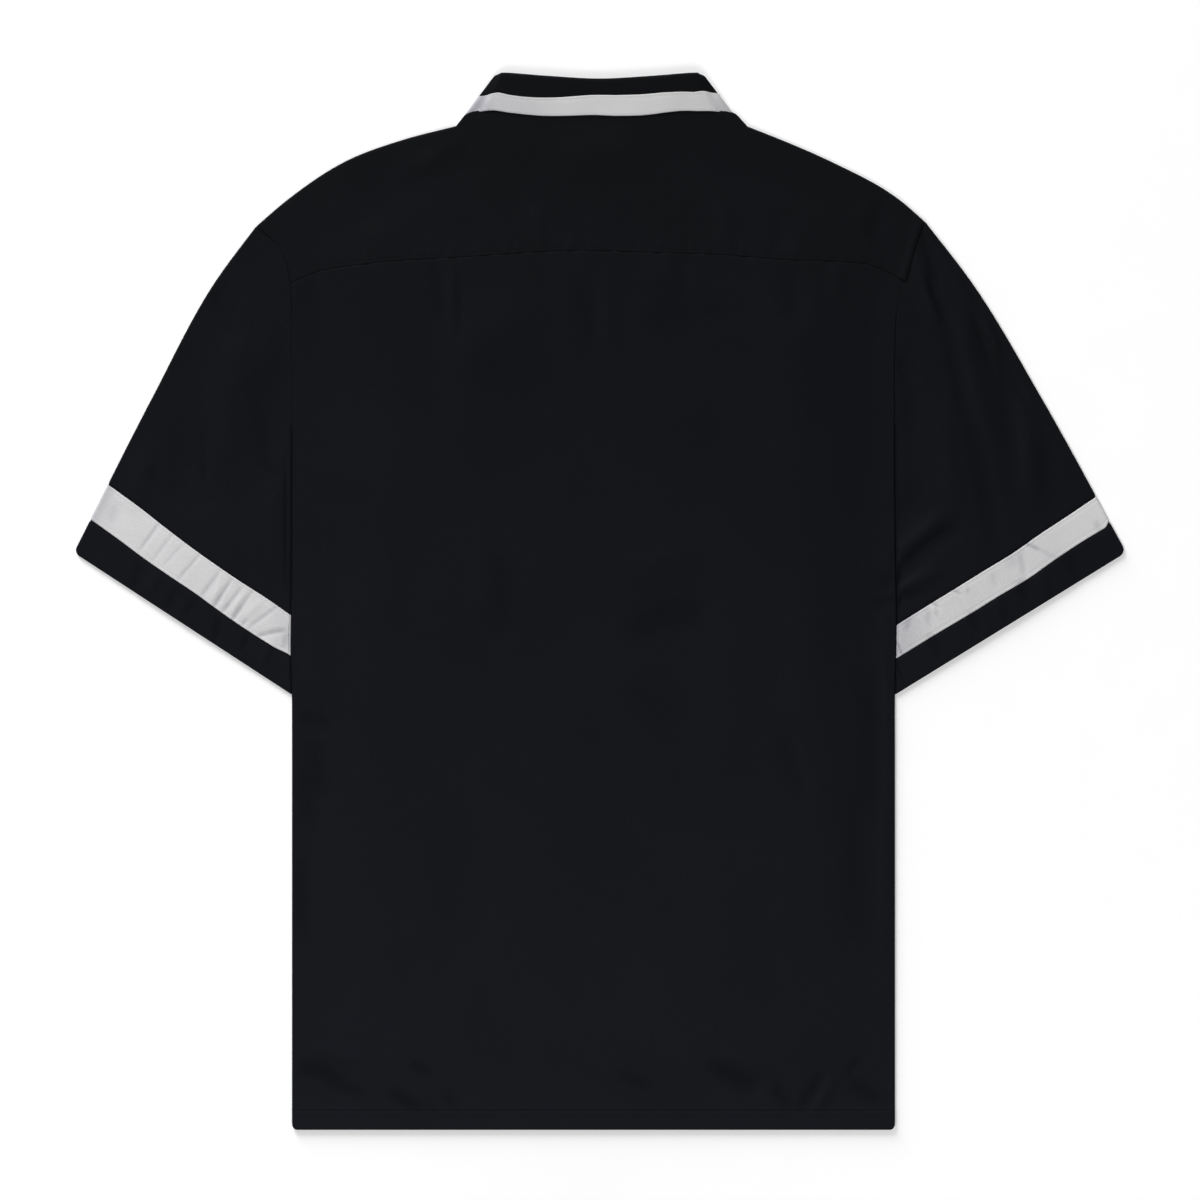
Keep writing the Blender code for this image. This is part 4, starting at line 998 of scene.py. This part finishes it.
def rows_between(side, low, high, shares):
    """Ends of rows between two distances up from the hem, each given for the outer fold and the underarm."""
    outer, inner = sleeve_lines(side)
    low, high, shares = np.array(low, float), np.array(high, float), np.asarray(shares)[:, None]
    at = np.array([lengths(outer)[-1], lengths(inner)[-1]]) - (high + (low - high) * shares)
    return at_lengths(outer, at[:, 0]), at_lengths(inner, at[:, 1])


# %% The black part, the band and the strip of each sleeve
BAND_RAISE, BAND_SINK = -0.2, 0.5  # a band lies proud of the tube, and what goes under it lies inside
UNDER_BAND = np.array([-5, -3.6, -2.6, -2, -1.4, -0.8, -0.2, 1.5, UNDERLAP])  # rows from the band's edge


def band_painted_shade(side, grid):
    """Painted shade on a band: darkest where it comes out from under the body, and on the left one also along
    its outer fold. The left one is also a little darker all over.
    """
    first, last = np.array(SLEEVES[side]["outer"][-2:])
    along = unit(last - first)
    inside = abs((grid[..., 0] - last[0]) * along[1] - (grid[..., 1] - last[1]) * along[0])
    if side == "right":
        return 0.13 * fade(inside, 26, 46) + 0.42 * fade(grid[..., 0], 242, 218)
    fold = 0.1 * fade(inside, 22, 12) + 0.3 * fade(inside, 9, 2)
    return 0.15 + fold + 0.15 * fade(grid[..., 0], -240, -230)


def black_part(side, band):
    """Rows at even shares from the sleeve's head to the band, and then a few that go under it."""
    outer, inner = sleeve_lines(side)
    shares = np.linspace(0, 1, 112)[:-3]
    at_outer, at_inner = [np.concatenate([shares * stop, stop + UNDER_BAND])
                          for stop in (lengths(outer)[-1] - band[0], lengths(inner)[-1] - band[1])]
    sunk = BAND_SINK * fade(np.concatenate([np.full(len(shares), -9), UNDER_BAND]), -2.6, -0.4)
    return tube(side, at_lengths(outer, at_outer), at_lengths(inner, at_inner), sunk, across=96)


def band_part(side, strip, band):
    """Rows of the band, close together at both its edges, where it is folded under and stitched."""
    deep = (band - strip).mean()
    rows = np.concatenate([EDGE_ROWS, [1.7, 2.3, 2.9], np.linspace(4.2, deep - 4.2, 16),
                           deep - np.array([2.9, 2.3, 1.7]), deep - EDGE_ROWS[::-1]]) / deep
    edge = np.minimum(rows, 1 - rows) * deep
    sunk = BAND_RAISE + 0.25 * round_edge(edge, 0.7) + 0.12 * bell(edge, 2.3, 0.6)
    return tube(side, *rows_between(side, strip, band, rows), sunk, across=210)


def strip_part(side, strip, radius):
    """Rows of the strip from under the band to the hem, where the fold's end is a corner of this radius."""
    tall = strip.mean()
    rows = np.concatenate([[-UNDERLAP, -1.5, 0.2, 0.8, 1.4, 2, 2.6, 3.6], np.linspace(5.5, tall - 3.6, 10),
                           [tall - 2.6], tall - EDGE_ROWS[::-1] * 1.6])
    row_outer, row_inner = rows_between(side, (0, 0), strip, rows / tall)
    row_outer = row_outer + unit(row_inner - row_outer) * radius * round_edge(tall - rows, radius)[:, None]
    sunk = BAND_SINK * fade(rows, 2.6, 0.4) + 0.3 * round_edge(tall - rows, 1.2)
    return tube(side, row_outer, row_inner, sunk, across=150)


for side, cut in SLEEVES.items():
    strip, band = np.array(cut["hem_strip"]), np.array(cut["band"])
    cloth(f"sleeve_{side}_cloth", black_part(side, band), "black_shirting", f"sleeve_{side}")
    grid = band_part(side, strip, band)
    cloth(f"sleeve_band_{side}_cloth", grid, "off_white_band", f"sleeve_band_{side}",
          painted_shade=band_painted_shade(side, grid))
    for row in (6, len(grid) - 7):
        stitch("band_stitches", grid[row, 4:-4], grid_normals(grid)[row, 4:-4], sink=0.05)
    grid = strip_part(side, strip, cut["corner"])
    cloth(f"sleeve_hem_{side}_cloth", grid, "black_shirting", f"sleeve_hem_{side}")

# %% [markdown]
# ## The collar
# A collar stands up from the neck seam, rolls over and falls back down. Laid face down, the shirt shows the
# fall over the nape. At the sides of the neck the whole section turns over, and in front it lies under the
# panels. Each section is a stand, a half circle for the roll, and a fall, and its width is carried round
# the neck by the table above.

# %% Sections of the collar
FALL_ABOVE = 1.4  # how far the fall lies above the yoke at the nape


def collar_grid(side, lift, places):
    """Sections round half of the neck: seam, roll, tip, the way out of the cloth, and how wide the stripe is."""
    table = collar_line(places)
    seam, roll_at, edge = table[:, 0:2], table[:, 2:4], table[:, 4:6]
    turn, rise, apart = np.radians(np.clip(table[:, 6], -90, 90)), table[:, 7], table[:, 8]
    outward = unit(np.stack([roll_at[:, 1] - seam[:, 1], seam[:, 0] - roll_at[:, 0]], axis=1))
    towards = unit(np.pad(roll_at - seam, ((0, 0), (0, 1))))
    across = np.concatenate([outward * np.cos(turn)[:, None], np.sin(turn)[:, None]], axis=1)

    def turned(plan, above, below):
        """Points halfway between two heights, moved half of that way out of the cloth."""
        return with_height(plan, (above + below) / 2) + across * ((above - below) / 2)[:, None]

    mirror = np.array([OUTWARD[side], 1, 1])
    yoke_z = upper_height(seam[:, 0] * mirror[0], seam[:, 1]) - FALL_ABOVE * fade(seam[:, 0], 72, 80)
    front_z = TABLE + lift(seam[:, 0], seam[:, 1])
    on_top = (np.sin(turn) + 1) / 2
    bend = ((on_top * apart + (1 - on_top) * (front_z - TABLE)) / 2)[:, None, None]
    base = turned(seam, yoke_z, front_z)
    centre = turned(roll_at, yoke_z + rise + apart / 2, (front_z + TABLE) / 2)
    angle = np.radians(np.linspace(-90, 90, 13))[None, :, None]
    bent = centre[:, None] + bend * (towards[:, None] * np.cos(angle) + across[:, None] * np.sin(angle))
    edge_x, edge_y = edge[:, 0] * mirror[0], edge[:, 1]
    strays = np.interp(edge_x, *FALL_EDGE.T[:2]) * fade(turn, 0.6, 1.4)
    wider = np.interp(edge_x, *FALL_EDGE.T[::2]) * fade(turn, -0.2, 0.8)
    above = upper_height(edge_x, edge_y) + FALL_ABOVE - 2.4 * fade(edge[:, 0], 81, 89)
    tip = turned(np.stack([edge[:, 0], edge_y + strays], axis=1), above, np.full(len(edge), TABLE))
    return base, bent, tip, across, mirror, table[:, 9:] + wider[:, None]


def fall_offset(distance, stripe):
    """How proud of the fall a point is, by its distance from the stripe's inner edge: the stripe lies over."""
    if stripe:
        return 0.18 - 0.25 * round_edge(distance, 0.7) - 0.15 * bell(distance, 1.8, 0.6)
    return -(SINK - 0.15) * fade(-distance, *LAP_FADE)


def collar_parts():
    """Grids of the black part and of the stripe, each from the left front round the nape to the right front."""
    places = even_places(0, 9, 2.2)
    halves = {"collar": [], "stripe": []}
    for side, lift in (("left", outer_lift), ("right", inner_lift)):
        base, bent, tip, across, mirror, striped = collar_grid(side, lift, places)
        start = bent[:, -1]
        long = np.linalg.norm(tip - start, axis=1)[:, None]
        join = long - striped
        stand = base[:, None] + (bent[:, :1] - base[:, None]) * np.linspace(0, 1, 9)[None, :-1, None]
        # distances down the fall, close together at both edges of the stripe
        black = np.concatenate([np.linspace(0, 1, 8)[None, 1:] * (join - 3),
                                join + [[-2.4, -1.8, -1.2, -0.6, 0, 1.2, 2.4]]], axis=1)
        between = 3.4 + (striped - 3.4 - 2) * np.linspace(0, 1, 8)
        white = np.concatenate([join + np.concatenate([EDGE_ROWS, [1.5, 1.9, 2.4]]), join + between,
                                long - EDGE_ROWS[::-1]], axis=1)
        parts = []
        for distances, stripe in ((black, False), (white, True)):
            points = start[:, None] + (tip - start)[:, None] * (distances / long)[..., None]
            proud = fall_offset(distances - join, stripe) - 0.25 * round_edge(long - distances, 0.8)
            points = points + across[:, None] * proud[..., None]
            points[..., 2] = np.maximum(points[..., 2], HALF + 0.04)
            parts.append(points)
        halves["collar"].append(np.concatenate([stand, bent, parts[0]], axis=1) * mirror)
        halves["stripe"].append(parts[1] * mirror)
    return [np.concatenate([left[:0:-1], right]) for left, right in (halves["collar"], halves["stripe"])]


black_grid, stripe_grid = collar_parts()
x = stripe_grid[..., 0]  # painted shade on the stripe where it turns round the neck, here more on one side
painted_shade = (0.34 * fade(x, -22, -54) + 0.6 * fade(x, -74, -86)
          + 0.16 * fade(x, 38, 62) + 0.5 * fade(x, 80, 91))
fall = cloth("collar_cloth", black_grid, "black_shirting", "collar")
stripe = cloth("collar_stripe_cloth", stripe_grid, "off_white_band", "collar_stripe", painted_shade=painted_shade)
for piece in (fall, stripe):
    piece.modifiers["wall"].use_even_offset = False
for column in (6, -6):
    stitch("collar_stitches", stripe_grid[:, column], grid_normals(stripe_grid)[:, column], sink=0.05)

# %% Sew the seams
HALF_HOLE = 7.2  # a buttonhole runs up the outer front, with short stitches across it and a bar at each end
ACROSS, UPWARDS, TO_TABLE = (1, 0, 0), (0, 1, 0), (0, 0, -1)


def facing(direction, count):
    """The same direction, once for each stitch."""
    return np.tile(direction, (count, 1))


for y in BUTTON_PLACES:
    edges, bars = y + np.arange(-HALF_HOLE, HALF_HOLE + 0.1, 0.6), y + np.array([-1, 1]) * (HALF_HOLE + 0.6)
    for x, at_y, wide, thick in ((-0.9, edges, 1.5, 0.5), (0.9, edges, 1.5, 0.5), (0, bars, 3.6, 0.9)):
        middle = np.stack([np.full(len(at_y), x), at_y, TABLE + outer_lift(x, at_y) - HALF], axis=1)
        lay("buttonhole_stitches", middle, facing(ACROSS, len(at_y)), facing(TO_TABLE, len(at_y)), wide, thick)
    strands = np.array([(side * HOLE_PLACE + off, y, 0.42) for side in (-1, 1) for off in (-0.24, 0, 0.24)])
    lay("button_threads", strands, facing(UPWARDS, 6), facing(TO_TABLE, 6), long=3.1, thick=0.45)
for name in ("hem_stitches", "yoke_stitches", "front_stitches", "buttonhole_stitches", "button_threads"):
    sew(name, "black_thread")
for name in ("band_stitches", "collar_stitches"):
    sew(name, "off_white_thread")

# %% [markdown]
# ## Buttons
# A shirt button is a small turned disc of resin with a raised rim, a dished middle and four holes. It is
# one height function on a polar grid for its face, and a plain back.

# %% A four-hole button
BUTTON_SIDES = 48


def button_form():
    """Rings of a disc: its face is a rim, less a dish, less four round wells; its side and back close it."""
    turns = np.arange(BUTTON_SIDES) * math.tau / BUTTON_SIDES
    rings = np.concatenate([np.linspace(0.15, 3.2, 22), np.linspace(3.4, 5.2, 7), [5.45, 5.65, 5.75]])
    r, a = np.meshgrid(rings, turns, indexing="ij")
    x, y = r * np.cos(a), r * np.sin(a)
    wells = sum(0.9 * fade(np.hypot(x - at_x, y - at_y), 0.75, 0.5)
                for at_x in (-HOLE_PLACE, HOLE_PLACE) for at_y in (-HOLE_PLACE, HOLE_PLACE))
    face = with_height(np.stack([x, y], axis=-1), 0.45 * fade(r, 4.4, 3.6) + 0.35 * fade(r, 5.3, 5.75) + wells)
    side = face[-1:] * (1, 1, 0) + (0, 0, 1.3)
    back = face[-2:-1] * (0.95, 0.95, 0) + (0, 0, BUTTON_THICK)
    return np.concatenate([face, side, back])


form = button_form()
centres = [(0, 0, form[0, 0, 2]), (0, 0, BUTTON_THICK)]
quads, fans = ring_faces(len(form), BUTTON_SIDES)
for number, y in enumerate(BUTTON_PLACES, 1):
    points = np.vstack([form.reshape(-1, 3), centres]) + (0, y, 0)
    button = new_piece(f"button_{number}_turned", points, quads.tolist() + fans.tolist(), "button_resin")
    button.data.flip_normals()
    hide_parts(f"button_{number}")
print(len(BUTTON_PLACES), "buttons")

# %% [markdown]
# ## What each piece was cut to
# A sheet of cloth has a size before it is sewn. Each piece's cloth is printed here next to the size it was cut
# to.

def cloth_area(piece):
    """Half of the surface of a shell, in square metres."""
    ready = piece.evaluated_get(bpy.context.evaluated_depsgraph_get()).to_mesh()
    areas = np.zeros(len(ready.polygons))
    ready.polygons.foreach_get("area", areas)
    return areas.sum() / 2


CUTS = {  # width and length in metres of what shows, its area, how it lies, and what it lies on
    "back_panel": ((0.438, 0.640), 0.276, "laid", ["front_panel_left", "front_panel_right"]),
    "yoke_panel": ((0.500, 0.150), 0.048, "folded", ["front_panel_left", "front_panel_right"]),
    "front_panel_left": ((0.265, 0.640), 0.159, "laid", ["button_1_turned", "collar_cloth"]),
    "front_panel_right": ((0.265, 0.640), 0.154, "laid", ["front_panel_left", "collar_cloth"]),
    "sleeve_left_cloth": ((0.400, 0.210), 0.045, "folded", ["yoke_panel"]),
    "sleeve_right_cloth": ((0.400, 0.210), 0.048, "folded", ["yoke_panel"]),
    "sleeve_band_left_cloth": ((0.380, 0.027), 0.009, "folded", ["sleeve_left_cloth"]),
    "sleeve_band_right_cloth": ((0.390, 0.023), 0.008, "folded", ["sleeve_right_cloth"]),
    "sleeve_hem_left_cloth": ((0.370, 0.032), 0.010, "folded", ["sleeve_band_left_cloth"]),
    "sleeve_hem_right_cloth": ((0.380, 0.030), 0.010, "folded", ["sleeve_band_right_cloth"]),
    "collar_cloth": ((0.430, 0.060), 0.025, "folded", ["yoke_panel"]),
    "collar_stripe_cloth": ((0.500, 0.0144), 0.006, "folded", ["yoke_panel"]),
}
for name, (flat, area, held, rests_on) in CUTS.items():
    piece = bpy.data.objects[name]
    print(f"{name}: {cloth_area(piece):.4f} m2 of cloth, {area:.3f} m2 cut from {flat[0]} x {flat[1]} m")

# %% [markdown]
# ## The table, the light and the camera
# The shirt lies on a white table top, under a studio's soft light. A tall lamp stands beyond the collar,
# about 25 degrees up, so the creases show and a short shadow falls below each hem. A smaller one overhead
# fills in, and one under the table is there for views of the front. The rest of the light comes from all
# round.

# %% The table top
def looked_at(made):
    """1 for rays that show a surface itself: from the camera, in a mirror or through glass. 0 for its light."""
    path = add(made, "LightPath")
    mirrored = add(made, "Math", [(0, path.outputs["Is Glossy Ray"]), (1, path.outputs["Is Transmission Ray"])],
                   operation="MAXIMUM")
    seen = add(made, "Math", [(0, path.outputs["Is Camera Ray"]), (1, mirrored.outputs[0])], operation="MAXIMUM")
    return seen.outputs[0]


FALL_OFF = (0.24, -0.097, 0)  # of the lamp's light over the table, for each metre
made, shader = new_material("white_table", Roughness=0.9, Specular_IOR_Level=0.1)
where = add(made, "TexCoord")
grain = add(made, "TexNoise", [("Vector", where.outputs["Object"])], Scale=30, Detail=2)
tone = add(made, "Mix", [("Factor", grain.outputs["Fac"])], data_type="RGBA",
           A=linear("#f3f3f3"), B=linear("#f5f5f5"))
connect(made, shader, [("Base Color", tone.outputs["Result"])])
away = add(made, "VectorMath", [(0, where.outputs["Object"])], operation="DOT_PRODUCT")
away.inputs[1].default_value = FALL_OFF
white = add(made, "MapRange", [("Value", away.outputs["Value"])],
            From_Min=0.038, From_Max=0.238, To_Min=0.16, To_Max=0.36)
shown = add(made, "Math", [(0, white.outputs[0]), (1, looked_at(made))], operation="MULTIPLY")
glow = add(made, "Emission", [("Strength", shown.outputs[0])])
lit = add(made, "AddShader", [(0, shader.outputs[0]), (1, glow.outputs[0])])
# from below, and for the lamp there, the table top is clear
behind, path, clear = add(made, "NewGeometry"), add(made, "LightPath"), add(made, "BsdfTransparent")
open_to = add(made, "Math", [(0, behind.outputs["Backfacing"]), (1, path.outputs["Is Shadow Ray"])],
              operation="MAXIMUM")
surface = add(made, "MixShader", [("Fac", open_to.outputs[0]), (1, lit.outputs[0]), (2, clear.outputs[0])])
output = next(node for node in made.node_tree.nodes if node.type == "OUTPUT_MATERIAL")
connect(made, output, [("Surface", surface.outputs[0])])
floor_mesh = bpy.data.meshes.new("table_top")
floor_mesh.from_pydata([(-6, -6, 0), (6, -6, 0), (6, 6, 0), (-6, 6, 0)], [], [(0, 1, 2, 3)])
floor_mesh.materials.append(made)
floor = bpy.data.objects.new("table_top", floor_mesh)
bpy.context.scene.collection.objects.link(floor)

# %% The light from all round, and the lamps
scene = bpy.context.scene
world = bpy.data.worlds.new("studio")
world.use_nodes = True
world.node_tree.nodes.clear()
scene.world = world
level = add(world, "MapRange", [("Value", looked_at(world))], To_Min=0.18, To_Max=1)  # dim as a light
background = add(world, "Background", [("Strength", level.outputs[0])], Color=(1, 1, 1, 1))
add(world, "OutputWorld", [("Surface", background.outputs[0])])


def lamp(name, place, wide, tall, power):
    """An area lamp at a place in metres, so wide and so tall, turned to the middle of the shirt."""
    light = bpy.data.lights.new(name, "AREA")
    light.shape = "RECTANGLE"
    light.size, light.size_y, light.energy = wide, tall, power
    made = bpy.data.objects.new(name, light)
    made.location = place
    made.rotation_euler = (-Vector(place)).to_track_quat("-Z", "Y").to_euler()
    scene.collection.objects.link(made)


lamp("beyond the collar", (-1.15, 2.3, 1.2), wide=1.3, tall=2.3, power=98)
lamp("overhead", (-0.3, -1, 1.9), wide=1.2, tall=1.2, power=19)
lamp("from below", (0, 0, -1.8), wide=1.6, tall=1.6, power=30)  # it lights the underside, through the table

# %% The camera, straight above the shirt
WIDE, HEIGHT = 0.864, 4  # what the picture takes in, and how high the camera is, in metres
BACK_TOP = 0.003  # the height at which it takes in that much
camera_data = bpy.data.cameras.new("camera")
camera_data.sensor_width = 36
camera_data.lens = camera_data.sensor_width * (HEIGHT - BACK_TOP) / WIDE
camera = bpy.data.objects.new("camera", camera_data)
camera.location = (0.0004, 0.0011, HEIGHT)
scene.collection.objects.link(camera)
scene.camera = camera
scene.view_settings.view_transform = "Standard"
